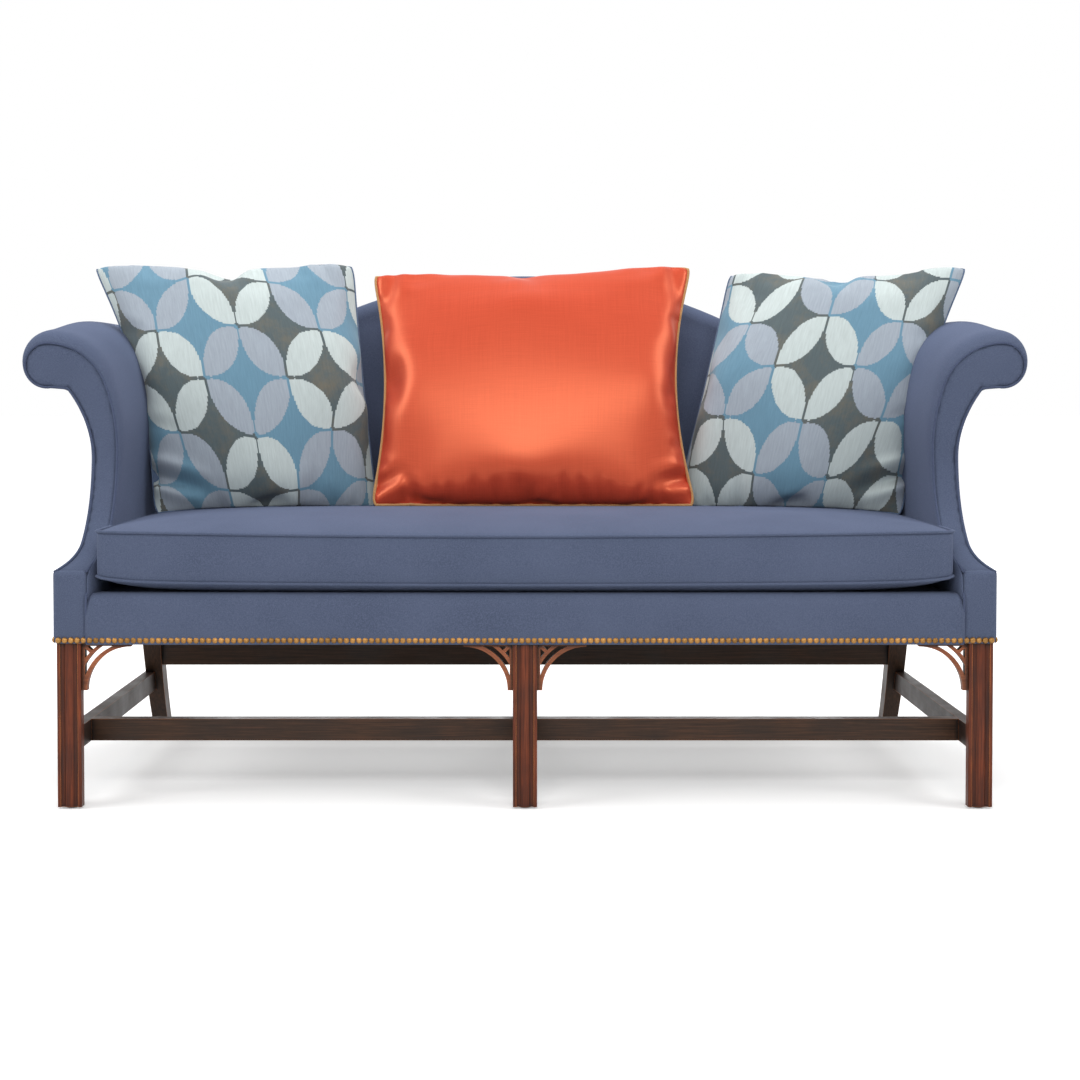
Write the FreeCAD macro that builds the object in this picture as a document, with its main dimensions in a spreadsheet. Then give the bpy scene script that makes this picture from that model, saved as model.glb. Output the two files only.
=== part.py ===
import FreeCAD, Part
import math
import os
import re
from types import SimpleNamespace

# Camelback sofa. +X is to the right as seen from the front, -Y is the front, +Z is up.
# Depths are measured from the front face of the front legs, and heights from the floor.

Vector = FreeCAD.Vector
doc = FreeCAD.newDocument("CamelbackSofa")
sizes = doc.addObject("Spreadsheet::Sheet", "Sizes")
places = doc.addObject("Spreadsheet::Sheet", "Places")
sheet_of = {}
nodes = []

driving = (
    ("arm_inner", 744, "centre line to the inner face of an arm below its flare"),
    ("leg_outset", 65, "outer face of a front leg beyond the arm's inner face"),
    ("leg_square", 42, "front leg, across and deep"),
    ("leg_corner", 2.5, "rounding of the leg's corners"),
    ("leg_bead", 6, "flat beside the corner of a moulded leg face"),
    ("leg_reed", 13.5, "reed along the middle of a moulded leg face"),
    ("quirk_depth", 1.6, "step beside the bead and the reed"),
    ("cove_depth", 3.4, "deepest point of the leg's coves"),
    ("leg_chamfer", 24, "chamfer on the hidden corner of a leg"),
    ("glide_height", 3.5, "foot glide below a leg"),
    ("glide_radius", 11, "foot glide"),
    ("post_top", 402, "top of a front leg inside its cover"),
    ("rail_bottom", 288, "underside of the seat rails"),
    ("rail_height", 62, "seat rails"),
    ("rail_thick", 34, "seat rails"),
    ("housing", 12, "how deep a rail or stretcher is let into a leg"),
    ("pin_radius", 9, "round tenon on top of a centre leg"),
    ("pin_length", 26, "round tenon on top of a centre leg"),
    ("brace_thick", 28, "seat brace between front and back rails"),
    ("brace_at", 262, "seat brace from the centre line"),
    ("brace_drop", 14, "seat brace below the top of the rails"),
    ("block_leg", 78, "corner block along each rail"),
    ("block_thick", 40, "corner block"),
    ("back_leg_outset", 56, "outer face of a back leg beyond the arm's inner face"),
    ("back_leg_width", 40, "back leg across, below the rail"),
    ("post_outset", 4, "inner face of a back post beyond the arm's inner face"),
    ("post_width", 31, "back post across, above the rail"),
    ("post_depth", 38, "back leg and back frame, front to back"),
    ("foot_taper", 9, "narrowing of a back leg at the floor"),
    ("foot_kick", 92, "how far the back foot sweeps behind the knee"),
    ("foot_bow", 15, "how far the back foot's sweep bends off a straight line"),
    ("seat_depth", 585, "front of the legs to the front of the back frame, at seat level"),
    ("back_rake", 12, "lean of the back in degrees"),
    ("stretcher_bottom", 98, "side, centre and front stretchers"),
    ("stretcher_height", 39, "side, centre and front stretchers"),
    ("stretcher_thick", 22, "all stretchers"),
    ("front_stretcher_at", 103, "front face of the front stretcher"),
    ("rear_stretcher_bottom", 153, "rear stretcher"),
    ("rear_stretcher_height", 56, "rear stretcher"),
    ("bracket_foot", 9, "width of the fret bracket's lower tip"),
    ("bracket_toe", 6.5, "height of the fret bracket's outer tip"),
    ("bracket_thick", 13, "fret bracket"),
    ("bracket_setback", 7, "fret bracket behind the leg's face"),
    ("bracket_curve", 76, "radius of the bracket's open side"),
    ("bracket_band", 7, "outer band of the fret"),
    ("bracket_slot", 8, "curved opening of the fret"),
    ("bracket_rib", 6, "inner band of the fret"),
    ("bracket_strip", 5.5, "straight strips and strut of the fret"),
    ("cover", 3, "cloth and wadding over the rails"),
    ("border_top", 372, "top of the front border and of the seat platform"),
    ("border_round", 15, "rolled top edge of the front border"),
    ("block_outset", 13, "inner edge of the post cover beyond the arm's inner face"),
    ("post_cover_top", 412, "crease at the top of the post cover"),
    ("post_cover_depth", 60, "post cover front to back"),
    ("web_thick", 2.5, "webbing strap"),
    ("web_width", 50, "webbing strap"),
    ("web_cross_pitch", 128, "spacing of the straps that run front to back"),
    ("web_long_pitch", 116, "spacing of the straps that run end to end"),
    ("hessian_thick", 1.5, "hessian over the webbing"),
    ("dust_thick", 1, "dust cover under the rails"),
    ("clearance", 0.4, "gap between loose pieces"),
    ("arm_thick", 42, "arm at its waist, from inner to outer face"),
    ("arm_skin", 5, "outside arm cover with its lining"),
    ("facing_setback", 170, "arm facing behind the legs' face"),
    ("facing_sweep", 220, "radius of the facing's swept foot"),
    ("facing_thick", 4, "arm facing"),
    ("facing_spread", 470, "height where the facing starts to narrow towards the post cover"),
    ("scroll_z", 771.5, "centre of the arm scroll at the front"),
    ("scroll_radius", 40.5, "arm scroll"),
    ("shoulder_radius", 113, "inner curve of the arm up to the scroll"),
    ("waist_radius", 350, "gentle inner curve of the arm below the shoulder"),
    ("waist_turn", 20, "turn of the gentle curve in degrees"),
    ("outer_radius", 222, "hollow outer curve of the arm"),
    ("outer_z", 592, "where the hollow outer curve starts"),
    ("cove_top", 455, "where the outside arm starts to spread over the rail"),
    ("arm_swell", 17, "rise of the arm roll just behind its facing"),
    ("swell_depth", 26, "length of that first rise"),
    ("rise_end", 480, "depth where the arm stops rising"),
    ("stump_inset", 14, "padding inside and over the arm stump"),
    ("stump_skin", 11, "lining outside the arm stump"),
    ("stump_thick", 28, "arm stump board"),
    ("arm_rail_radius", 22, "round arm rail"),
    ("welt_radius", 2.6, "piping of the arm facing"),
    ("crest_height", 970, "top of the back at its middle"),
    ("crest_dip", 125, "lowest point of the serpentine crest below its middle"),
    ("crest_meet", 13, "rise of the crest from its lowest point to the arm's roll"),
    ("hump_radius", 985, "convex middle of the crest"),
    ("dip_radius", 400, "hollow stretch of the crest"),
    ("crest_pad", 14, "padding over the crest rail"),
    ("crest_rail_deep", 53, "underside of the crest rail below the lowest point of the crest"),
    ("crest_round", 34, "rolled front edge of the crest"),
    ("crest_fall", 9, "fall of the crest towards its rear edge"),
    ("back_pad", 35, "stuffing in front of the back frame"),
    ("back_crown", 12, "crown of the inside back"),
    ("wing_inset", 40, "inside back stops short of the scroll's centre"),
    ("panel", 3, "outside back cover"),
    ("stay_rail_at", 66, "stay rail above the seat platform"),
    ("stay_rail_height", 52, "stay rail"),
    ("upright_at", 250, "back upright from the centre line"),
    ("upright_width", 46, "back upright"),
    ("nail_radius", 5.1, "brass nail head"),
    ("nail_height", 3.3, "brass nail head"),
    ("nail_pitch", 10.8, "spacing of the brass nails"),
    ("nail_up", 6, "nail row above the underside of the rail"),
    ("shank_radius", 0.8, "nail shank"),
    ("shank_length", 9, "nail shank"),
    ("cushion_front", 3, "front seam of the seat cushion behind the legs' face"),
    ("cushion_play", 1, "gap between the seat cushion and an arm"),
    ("cushion_corner", 13.6, "rounding of the seat cushion's corners"),
    ("cushion_end_base", 0.15, "share of the base's depth that is left at the cushion's ends"),
    ("cushion_depth", 530, "seat cushion from front seam to back seam"),
    ("cushion_bottom_seam", 394, "lower welt of the seat cushion"),
    ("cushion_top_seam", 481, "upper welt of the seat cushion"),
    ("cushion_crown", 23, "rise of the seat cushion above its upper welt"),
    ("cushion_bulge", 6, "swell of the seat cushion's borders"),
    ("cushion_droop", 3, "crown left at the cushion's ends"),
    ("cushion_casing", 2, "thickness of the cushion's casing"),
    ("cushion_welt", 3.4, "radius of the cushion's welts"),
    ("side_pillow_width", 410, "patterned cushion along its foot"),
    ("side_pillow_top", 486, "patterned cushion along its top"),
    ("side_pillow_height", 512, "patterned cushion"),
    ("side_pillow_crown", 140, "patterned cushion, thickest"),
    ("side_pillow_hug", 46, "how far a patterned cushion's side is drawn in beside the arm"),
    ("side_pillow_in", 230, "foot of a patterned cushion in from the arm"),
    ("side_pillow_back", 402, "foot of a patterned cushion behind the legs' face"),
    ("side_pillow_turn", 12, "patterned cushion turned towards the middle, in degrees"),
    ("side_pillow_lean", 12, "lean of a patterned cushion in degrees"),
    ("side_pillow_slump", 11, "sideways slump towards the arm in degrees"),
    ("silk_width", 630, "silk cushion"),
    ("silk_height", 496, "silk cushion"),
    ("silk_crown", 146, "silk cushion, thickest"),
    ("silk_at", 9, "foot of the silk cushion from the centre line"),
    ("silk_back", 398, "foot of the silk cushion behind the legs' face"),
    ("silk_lean", 19.5, "lean of the silk cushion in degrees"),
    ("silk_piping", 3, "radius of the silk cushion's piping"),
    ("pillow_edge", 9, "thickness of a cushion at its side seams"),
    ("pillow_draw", 26, "how far a cushion's sides are drawn in"),
    ("pillow_sink", 7, "how far a cushion's foot settles flat"),
    ("pillow_fullness", 0.55, "power of the curve that fills a cushion out from its sides"),
)

worked_out = (
    ("frame_half_width", "arm_inner + leg_outset", "centre line to the outer face of a front leg"),
    ("back_half_width", "arm_inner + back_leg_outset", "centre line to the outer face of a back leg"),
    ("post_inner", "arm_inner + post_outset", "inner face of a back post above the rail"),
    ("block_inner", "arm_inner + block_outset", "inner edge of the post cover"),
    ("arm_outer", "arm_inner + arm_thick", "outer face of an arm at its waist"),
    ("crest_low", "crest_height - crest_dip", "lowest point of the serpentine crest"),
    ("crest_rail_bottom", "crest_low - crest_rail_deep", "underside of the crest rail"),
    ("roll_top", "crest_low + crest_meet", "top of the arm's roll where the back meets it"),
    ("arm_rise", "roll_top - scroll_z - scroll_radius", "rise of the arm from its facing to the back"),
    ("side_pillow_at", "arm_inner - side_pillow_in", "foot of a patterned cushion from the centre line"),
    ("rear_reach", "seat_depth + (crest_height - border_top) * tan(back_rake) + post_depth + panel",
     "rear of the outside back at the crest"),
    ("front_y", "(cover + nail_height - rear_reach) / 2", "front face of the legs from the middle of the depth"),
    ("rail_top", "rail_bottom + rail_height", "top of the seat rails"),
    ("leg_inner", "frame_half_width - leg_square", "inner face of a front leg"),
    ("leg_middle", "frame_half_width - leg_square / 2", "centre of a front leg"),
    ("back_leg_inner", "back_half_width - back_leg_width", "inner face of a back leg"),
    ("knee", "seat_depth - (border_top - rail_bottom) * tan(back_rake)", "front of the back leg under the rail"),
    ("platform_bottom", "rail_top + 2 * web_thick + hessian_thick", "underside of the seat stuffing"),
    ("cover_outer", "frame_half_width + cover", "outer face of the covers"),
    ("scroll_x", "arm_inner + waist_radius * (1 - cos(waist_turn)) + shoulder_radius * cos(waist_turn)",
     "centre of the arm scroll"),
    ("shoulder_z", "scroll_z + scroll_radius - shoulder_radius", "centre of the shoulder curve"),
    ("flare_z", "shoulder_z + (shoulder_radius - waist_radius) * sin(waist_turn)",
     "where the inner face of the arm starts to flare"),
    ("sweep_centre", "facing_setback - facing_sweep", "depth of the centre of the facing's sweep"),
    ("sweep_top", "post_cover_top + sqrt(facing_sweep ^ 2 - sweep_centre ^ 2)", "where the sweep ends"),
    ("bracket_reach", "bracket_curve + bracket_foot", "fret bracket along the rail"),
    ("bracket_drop", "bracket_curve + bracket_toe", "fret bracket down the leg"),
    ("stump_back", "facing_setback + facing_thick + stump_thick", "rear face of the arm stump"),
    ("arm_rail_run", "seat_depth + (scroll_z + arm_rise - border_top) * tan(back_rake) - stump_back",
     "arm rail from the stump to the back frame"),
    ("arm_rail_slope", "atan((arm_rise - arm_swell) / arm_rail_run)", "climb of the arm rail"),
    ("hump_turn", "acos(1 - crest_dip / (hump_radius + dip_radius))", "steepest slope of the crest"),
    ("cushion_half", "arm_inner - cushion_play", "half the length of the seat cushion"),
    ("cushion_floor", "border_top + clearance", "underside of the seat cushion"),
)


def cells(text):
    # Aliases in an expression get the name of the sheet that holds them.
    return re.sub(r"[a-z][a-z_0-9]*", lambda word: sheet_of.get(word.group(), "") + word.group(), text)


def fill(sheet, rows, mark):
    for number, (alias, content, meaning) in enumerate(rows, 1):
        sheet.set(f"A{number}", meaning)
        sheet.set(f"B{number}", mark + cells(str(content)))
        sheet.setAlias(f"B{number}", alias)
        sheet_of[alias] = sheet.Name + "."


fill(sizes, driving, "")
doc.recompute()
fill(places, worked_out, "=")
doc.recompute()
at = SimpleNamespace(**{row[0]: float(sizes.get(row[0])) for row in driving},
                     **{row[0]: float(places.get(row[0])) for row in worked_out})


def bind(thing, **expressions):
    for name, text in expressions.items():
        thing.setExpression(name.replace("__", "."), cells(text))
    return thing


def keep(thing, name):
    thing.Label = name
    nodes.append(thing)
    return thing


def bar(name, length, width, height, x, depth, z):
    # A straight-grained stick: length across, width front to back.
    stick = doc.addObject("Part::Box", name)
    return bind(stick, Length=length, Width=width, Height=height, Placement__Base__x=x,
                Placement__Base__y="front_y + " + depth, Placement__Base__z=z)


def joined(name, *parts):
    whole = doc.addObject("Part::MultiFuse", name)
    whole.Shapes = list(parts)
    return whole


def grouped(name, *parts):
    group = doc.addObject("Part::Compound", name)
    group.Links = list(parts)
    return group


def cut(name, base, tool):
    rest = doc.addObject("Part::Cut", name)
    rest.Base = base
    rest.Tool = tool
    return rest


def mirrored(source, name):
    twin = doc.addObject("Part::Mirroring", name)
    twin.Source = source
    twin.Normal = Vector(1, 0, 0)
    return twin


def feature(name, shape):
    piece = doc.addObject("Part::Feature", name)
    piece.Shape = shape
    return piece


def on_circle(centre, radius, angle):
    return (centre[0] + radius * math.cos(math.radians(angle)), centre[1] + radius * math.sin(math.radians(angle)))


def round_to(centre, radius, *angles):
    # Arc steps on one circle through the given angles.
    turns = zip(angles, angles[1:])
    return [(on_circle(centre, radius, (a + b) / 2), on_circle(centre, radius, b)) for a, b in turns]


def trace(start, steps, place=lambda p: Vector(p[0], p[1], 0), closed=True):
    # A step is a point for a line, or a pair of points for an arc through the first to the second.
    curves = []
    here = start
    for step in list(steps) + ([start] if closed else []):
        if isinstance(step[0], tuple):
            curves.append(Part.Arc(place(here), place(step[0]), place(step[1])))
            here = step[1]
        elif math.dist(here, step) > 1e-6:
            curves.append(Part.LineSegment(place(here), place(step)))
            here = step
    return curves


def wire(start, steps, place, closed=True):
    return Part.Wire([curve.toShape() for curve in trace(start, steps, place, closed)])


def across(depth):
    return lambda p: Vector(p[0], at.front_y + depth, p[1])


def sideways(x):
    return lambda p: Vector(x, at.front_y + p[0], p[1])


def padded_body(name, role, offset, length, *outlines, backwards=False):
    # A board sawn to an outline: sketch on an origin plane of its own body, then a pad.
    body = doc.addObject("PartDesign::Body", name)
    sketch = body.newObject("Sketcher::SketchObject", name + "_outline")
    plane = next(item for item in body.Origin.OriginFeatures if item.Role == role)
    sketch.AttachmentSupport = (plane, [""])
    sketch.MapMode = "FlatFace"
    bind(sketch, AttachmentOffset__Base__z=offset)
    for outline in outlines:
        for curve in outline:
            sketch.addGeometry(curve)
    pad = body.newObject("PartDesign::Pad", name + "_pad")
    pad.Profile = sketch
    pad.Reversed = backwards
    bind(pad, Length=length)
    return body


def raked(depth, z):
    # A depth behind the front of the back frame, carried up its lean.
    return at.seat_depth + (z - at.border_top) * math.tan(math.radians(at.back_rake)) + depth


# Legs


def leg_outline(left, moulded_side):
    # The front face is moulded, and the outer face too on an outer leg; hidden corners are chamfered.
    whole, corner, half = at.leg_square, at.leg_corner, at.leg_square / 2
    reed = at.leg_reed / 2
    chamfer = at.leg_chamfer if moulded_side else at.leg_chamfer / 2

    def moulding(place):
        cove = (at.leg_bead + half - reed) / 2
        return [place(at.leg_bead, 0), place(at.leg_bead, at.quirk_depth),
                (place(cove, at.cove_depth), place(half - reed, at.quirk_depth)),
                (place(half, 0), place(half + reed, at.quirk_depth)),
                (place(whole - cove, at.cove_depth), place(whole - at.leg_bead, at.quirk_depth)),
                place(whole - at.leg_bead, 0), place(whole - corner, 0)]

    def spot(x, y):
        return (left + x, at.front_y + y)

    steps = moulding(spot)
    steps += round_to(spot(whole - corner, corner), corner, -90, 0)
    if moulded_side:
        steps += moulding(lambda u, deep: spot(whole - deep, u))
        steps += round_to(spot(whole - corner, whole - corner), corner, 0, 90)
    else:
        steps += [spot(whole, whole - chamfer), spot(whole - chamfer, whole)]
    steps += [spot(chamfer, whole), spot(0, whole - chamfer), spot(0, corner)]
    steps += round_to(spot(corner, corner), corner, 180, 270)
    return trace(spot(corner, 0), steps)


def round_tenon(name, depth):
    pin = doc.addObject("Part::Cylinder", name)
    return bind(pin, Radius="pin_radius", Height="pin_length", Placement__Base__y="front_y + " + depth,
                Placement__Base__z="rail_bottom")


def back_leg_outline(top):
    # Side view: a raked post above the knee, and a foot that sweeps back below it.
    foot, sole = at.knee + at.foot_kick, at.glide_height
    middle = (at.rail_bottom + sole) / 2
    bend = at.knee + at.foot_kick / 2 - at.foot_bow
    front = ((at.front_y + bend, middle), (at.front_y + at.knee, at.rail_bottom))
    rear = ((at.front_y + bend + at.post_depth, middle), (at.front_y + foot + at.post_depth, sole))
    steps = [front]
    if top > at.rail_bottom:
        steps.append((at.front_y + raked(0, top), top))
        steps.append((at.front_y + raked(at.post_depth, top), top))
    steps.append((at.front_y + at.knee + at.post_depth, at.rail_bottom))
    steps.append(rear)
    return trace((at.front_y + foot, sole), steps)


def foot_side_cut(name, outer):
    # Wedge that tapers the outer side of a back leg towards the floor.
    steps = [(outer + at.foot_taper, 0), (outer + at.foot_taper, at.rail_bottom), (outer, at.rail_bottom)]
    return padded_body(name, "XZ_Plane", "-front_y", "rear_reach", trace((outer - at.foot_taper, 0), steps),
                       backwards=True)


front_post = padded_body("front_post", "XY_Plane", "glide_height", "post_top - glide_height",
                         leg_outline(at.leg_inner, True))
centre_post = padded_body("centre_post", "XY_Plane", "glide_height", "rail_bottom - glide_height",
                          leg_outline(-at.leg_square / 2, False))
front_pin = round_tenon("front_pin", "rail_thick / 2")
back_pin = round_tenon("back_pin", "knee + post_depth / 2")
back_plank = padded_body("back_plank", "YZ_Plane", "post_inner", "back_half_width - post_inner",
                         back_leg_outline(at.crest_rail_bottom))
post_waste = bar("post_waste", "back_half_width", "rear_reach", "crest_height", "post_inner + post_width", "0",
                 "rail_top")
leg_waste = bar("leg_waste", "back_leg_inner - post_inner", "rear_reach", "rail_bottom", "post_inner", "0", "0")
back_centre_post = padded_body("back_centre_post", "YZ_Plane", "-back_leg_width / 2", "back_leg_width",
                               back_leg_outline(at.rail_bottom))

# Seat rails and stretchers, let into the legs

front_rail_bar = bar("front_rail_bar", "2 * (leg_inner + housing)", "rail_thick", "rail_height",
                     "-leg_inner - housing", "0", "rail_bottom")
back_rail_bar = bar("back_rail_bar", "2 * (post_inner + housing)", "post_depth - 2 * cover", "rail_height",
                    "-post_inner - housing", "knee + cover", "rail_bottom")
side_rail = keep(bar("side_rail_bar", "rail_thick", "knee + 2 * housing - rail_thick", "rail_height",
                     "frame_half_width - rail_thick", "rail_thick", "rail_bottom"), "side_rail_right")
keep(mirrored(side_rail, "side_rail_twin"), "side_rail_left")
keep(cut("front_rail_cut", front_rail_bar, front_pin), "front_rail")
keep(cut("back_rail_cut", back_rail_bar, back_pin), "back_rail")

stretcher_run = "knee + 2 * housing - leg_square + foot_kick / 2"
side_stretcher = keep(bar("side_stretcher_bar", "stretcher_thick", stretcher_run, "stretcher_height",
                          "leg_middle - stretcher_thick / 2", "leg_square - housing", "stretcher_bottom"),
                      "side_stretcher_right")
keep(mirrored(side_stretcher, "side_stretcher_twin"), "side_stretcher_left")
centre_bar = bar("centre_stretcher_bar", "stretcher_thick", stretcher_run, "stretcher_height",
                 "-stretcher_thick / 2", "leg_square - housing", "stretcher_bottom")
front_stretcher = bar("front_stretcher_bar", "leg_middle - stretcher_thick", "stretcher_thick",
                      "stretcher_height", "stretcher_thick / 2", "front_stretcher_at", "stretcher_bottom")
keep(front_stretcher, "front_stretcher_right")
keep(mirrored(front_stretcher, "front_stretcher_twin"), "front_stretcher_left")
keep(centre_bar, "centre_stretcher")
rear_stretcher = bar("rear_stretcher_bar", "back_leg_inner + 2 * housing - back_leg_width / 2", "stretcher_thick",
                     "rear_stretcher_height", "back_leg_width / 2 - housing", "knee + foot_kick / 3",
                     "rear_stretcher_bottom")
keep(rear_stretcher, "rear_stretcher_right")
rear_stretcher_twin = keep(mirrored(rear_stretcher, "rear_stretcher_twin"), "rear_stretcher_left")

front_leg = keep(cut("front_leg_cut", front_post,
                     joined("front_leg_mortises", front_rail_bar, side_rail, side_stretcher)), "front_leg_right")
keep(mirrored(front_leg, "front_leg_twin"), "front_leg_left")
keep(cut("centre_leg_cut", joined("centre_leg_blank", centre_post, front_pin), centre_bar), "front_leg_centre")

# Back frame: stay rail, uprights and crest rail stand in the raked plane of the posts


def leaning(thing):
    # Moves a piece drawn at the back frame's foot into the raked plane.
    bind(thing, Placement__Base__y="front_y + seat_depth", Placement__Base__z="border_top")
    thing.Placement.Rotation = FreeCAD.Rotation(Vector(1, 0, 0), -at.back_rake)
    return thing


slope = math.cos(math.radians(at.back_rake))
hump_end = at.hump_radius * math.sin(math.radians(at.hump_turn))
dip_at = hump_end + at.dip_radius * math.sin(math.radians(at.hump_turn))


def crest(x):
    # Height of the serpentine crest: convex hump, hollow dip, then a gentle rise into the arm.
    x = abs(x)
    if x < hump_end:
        return at.crest_height - at.hump_radius + math.sqrt(at.hump_radius ** 2 - x ** 2)
    if x < dip_at:
        return at.crest_low + at.dip_radius - math.sqrt(at.dip_radius ** 2 - (dip_at - x) ** 2)
    return at.crest_low + at.crest_meet * ((x - dip_at) / (at.scroll_x - dip_at)) ** 2


def crest_steps(drop, end):
    # The crest from its left end to its right end as arcs through points of its formula.
    stops = [-end, -dip_at, -hump_end, 0, hump_end, dip_at, end]
    steps = []
    for a, b in zip(stops, stops[1:]):
        middle = (a + b) / 2
        steps.append(((middle, crest(middle) - drop), (b, crest(b) - drop)))
    return steps


def crest_rail_outline(end):
    def lay(point):
        return (point[0], (point[1] - at.border_top) / slope)

    steps = [lay((-end, crest(end) - at.crest_pad))]
    steps += [(lay(mid), lay(stop)) for mid, stop in crest_steps(at.crest_pad, end)]
    steps.append(lay((end, at.crest_rail_bottom)))
    return trace(lay((-end, at.crest_rail_bottom)), steps)


crest_end = at.scroll_x + at.arm_rail_radius
crest_board = leaning(padded_body("crest_board", "XZ_Plane", "-cover", "post_depth - 2 * cover",
                                  crest_rail_outline(crest_end), backwards=True))
stay_rail = leaning(doc.addObject("Part::Box", "stay_rail_bar"))
bind(stay_rail, Length="2 * (post_inner + housing)", Width="post_depth - 2 * cover", Height="stay_rail_height",
     Placement__Base__x="-post_inner - housing",
     Placement__Base__y="front_y + seat_depth + stay_rail_at * sin(back_rake) + cover * cos(back_rake)",
     Placement__Base__z="border_top + stay_rail_at * cos(back_rake) - cover * sin(back_rake)")
upright = leaning(doc.addObject("Part::Box", "upright_bar"))
upright_foot = "(stay_rail_at + stay_rail_height)"
bind(upright, Length="upright_width", Width="post_depth - 2 * cover",
     Height="(crest_rail_bottom - border_top) / cos(back_rake) - " + upright_foot,
     Placement__Base__x="upright_at - upright_width / 2",
     Placement__Base__y="front_y + seat_depth + " + upright_foot + " * sin(back_rake) + cover * cos(back_rake)",
     Placement__Base__z="border_top + " + upright_foot + " * cos(back_rake) - cover * sin(back_rake)")
keep(stay_rail, "stay_rail")
keep(grouped("uprights", upright, mirrored(upright, "upright_twin")), "back_uprights")

back_leg_waste = joined("back_leg_waste", post_waste, leg_waste, foot_side_cut("foot_wedge", at.back_half_width))
back_leg = cut("back_leg_cut", cut("back_leg_sawn", back_plank, back_leg_waste),
               joined("back_leg_mortises", back_rail_bar, side_rail, side_stretcher, rear_stretcher, stay_rail,
                      crest_board))
keep(back_leg, "back_leg_right")
keep(mirrored(back_leg, "back_leg_twin"), "back_leg_left")
keep(cut("back_centre_cut", joined("back_centre_blank", back_centre_post, back_pin),
         joined("back_centre_mortises", centre_bar, rear_stretcher, rear_stretcher_twin)), "back_leg_centre")

# Seat braces, corner blocks and glides

brace = bar("brace_bar", "brace_thick", "knee + cover - rail_thick", "rail_height - brace_drop",
            "brace_at - brace_thick / 2", "rail_thick", "rail_bottom")
keep(grouped("braces", brace, mirrored(brace, "brace_twin")), "seat_braces")


def corner_block(name, corner, reach):
    # Triangular glue block in an inner corner of the seat frame.
    steps = [(corner[0] - at.block_leg, corner[1]), (corner[0], corner[1] + reach)]
    return padded_body(name, "XY_Plane", "rail_top - block_thick", "block_thick", trace(corner, steps))


rail_inside = at.frame_half_width - at.rail_thick
front_corner = cut("front_block_cut", corner_block("front_block", (rail_inside, at.front_y + at.rail_thick),
                                                  at.block_leg), front_leg)
back_corner = corner_block("back_block", (rail_inside, at.front_y + at.knee + at.cover), -at.block_leg)
keep(grouped("blocks", front_corner, mirrored(front_corner, "front_block_twin"),
             back_corner, mirrored(back_corner, "back_block_twin")), "corner_blocks")


def glide(name, x, depth):
    disc = doc.addObject("Part::Cylinder", name)
    return bind(disc, Radius="glide_radius", Height="glide_height", Placement__Base__x=x,
                Placement__Base__y="front_y + " + depth)


front_glide = glide("front_glide", "leg_middle", "leg_square / 2")
back_glide = glide("back_glide", "back_half_width - foot_taper - (back_leg_width - foot_taper) / 2",
                   "knee + foot_kick + post_depth / 2")
centre_glides = (glide("front_centre_glide", "0", "leg_square / 2"),
                 glide("back_centre_glide", "0", "knee + foot_kick + post_depth / 2"))
outer_glides = (front_glide, back_glide, mirrored(front_glide, "front_glide_twin"),
                mirrored(back_glide, "back_glide_twin"))
keep(grouped("glides", *outer_glides, *centre_glides), "foot_glides")

# Fret brackets


def bracket(name, corner):
    # Pierced spandrel under the rail, to the left of a leg whose inner face is at the corner.
    reach, drop, strip = at.bracket_reach, at.bracket_drop, at.bracket_strip
    centre = (reach, drop)

    def spot(point):
        return Vector(corner - point[0], at.rail_bottom - point[1], 0)

    def under_strip(radius):
        return math.degrees(math.asin((strip - drop) / radius))

    def beside_leg(radius):
        return -math.degrees(math.acos((strip - reach) / radius))

    outline = [(reach, 0), (reach, drop - at.bracket_curve)]
    outline += round_to(centre, at.bracket_curve, -90, -180)
    outline += [(0, drop)]
    band = at.bracket_curve + at.bracket_band
    rib = band + at.bracket_slot
    eye = rib + at.bracket_rib
    slot_top, slot_low = -180 - under_strip(band), beside_leg(band)
    rib_top, rib_low = -180 - under_strip(rib), beside_leg(rib)
    slot = round_to(centre, band, slot_top, slot_low)
    slot += [on_circle(centre, rib, rib_low)]
    slot += round_to(centre, rib, rib_low, rib_top)
    diagonal = math.degrees(math.atan2(drop - strip, reach - strip)) - 180
    half_strut = math.degrees(math.asin(strip / 2 / eye))
    side = strip / 2 / math.sin(math.radians(diagonal + 180))
    upper = round_to(centre, eye, -180 - under_strip(eye), diagonal + half_strut)
    upper += [(strip + side, strip)]
    lower = round_to(centre, eye, diagonal - half_strut, beside_leg(eye))
    lower += [(strip, strip + strip / 2 / math.cos(math.radians(diagonal + 180)))]
    curves = [trace((0, 0), outline, spot), trace(on_circle(centre, band, slot_top), slot, spot)]
    curves.append(trace(on_circle(centre, eye, -180 - under_strip(eye)), upper, spot))
    curves.append(trace(on_circle(centre, eye, diagonal - half_strut), lower, spot))
    return padded_body(name, "XZ_Plane", "-front_y - bracket_setback", "bracket_thick", *curves, backwards=True)


outer_bracket = keep(bracket("outer_fret", at.leg_inner), "bracket_right")
keep(mirrored(outer_bracket, "outer_fret_twin"), "bracket_left")
inner_bracket = keep(bracket("inner_fret", -at.leg_square / 2), "bracket_centre_left")
keep(mirrored(inner_bracket, "inner_fret_twin"), "bracket_centre_right")

# Webbing, hessian, platform, dust cover and front border


def row_of(count, pitch):
    return [pitch * (index - (count - 1) / 2) for index in range(count)]


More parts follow.
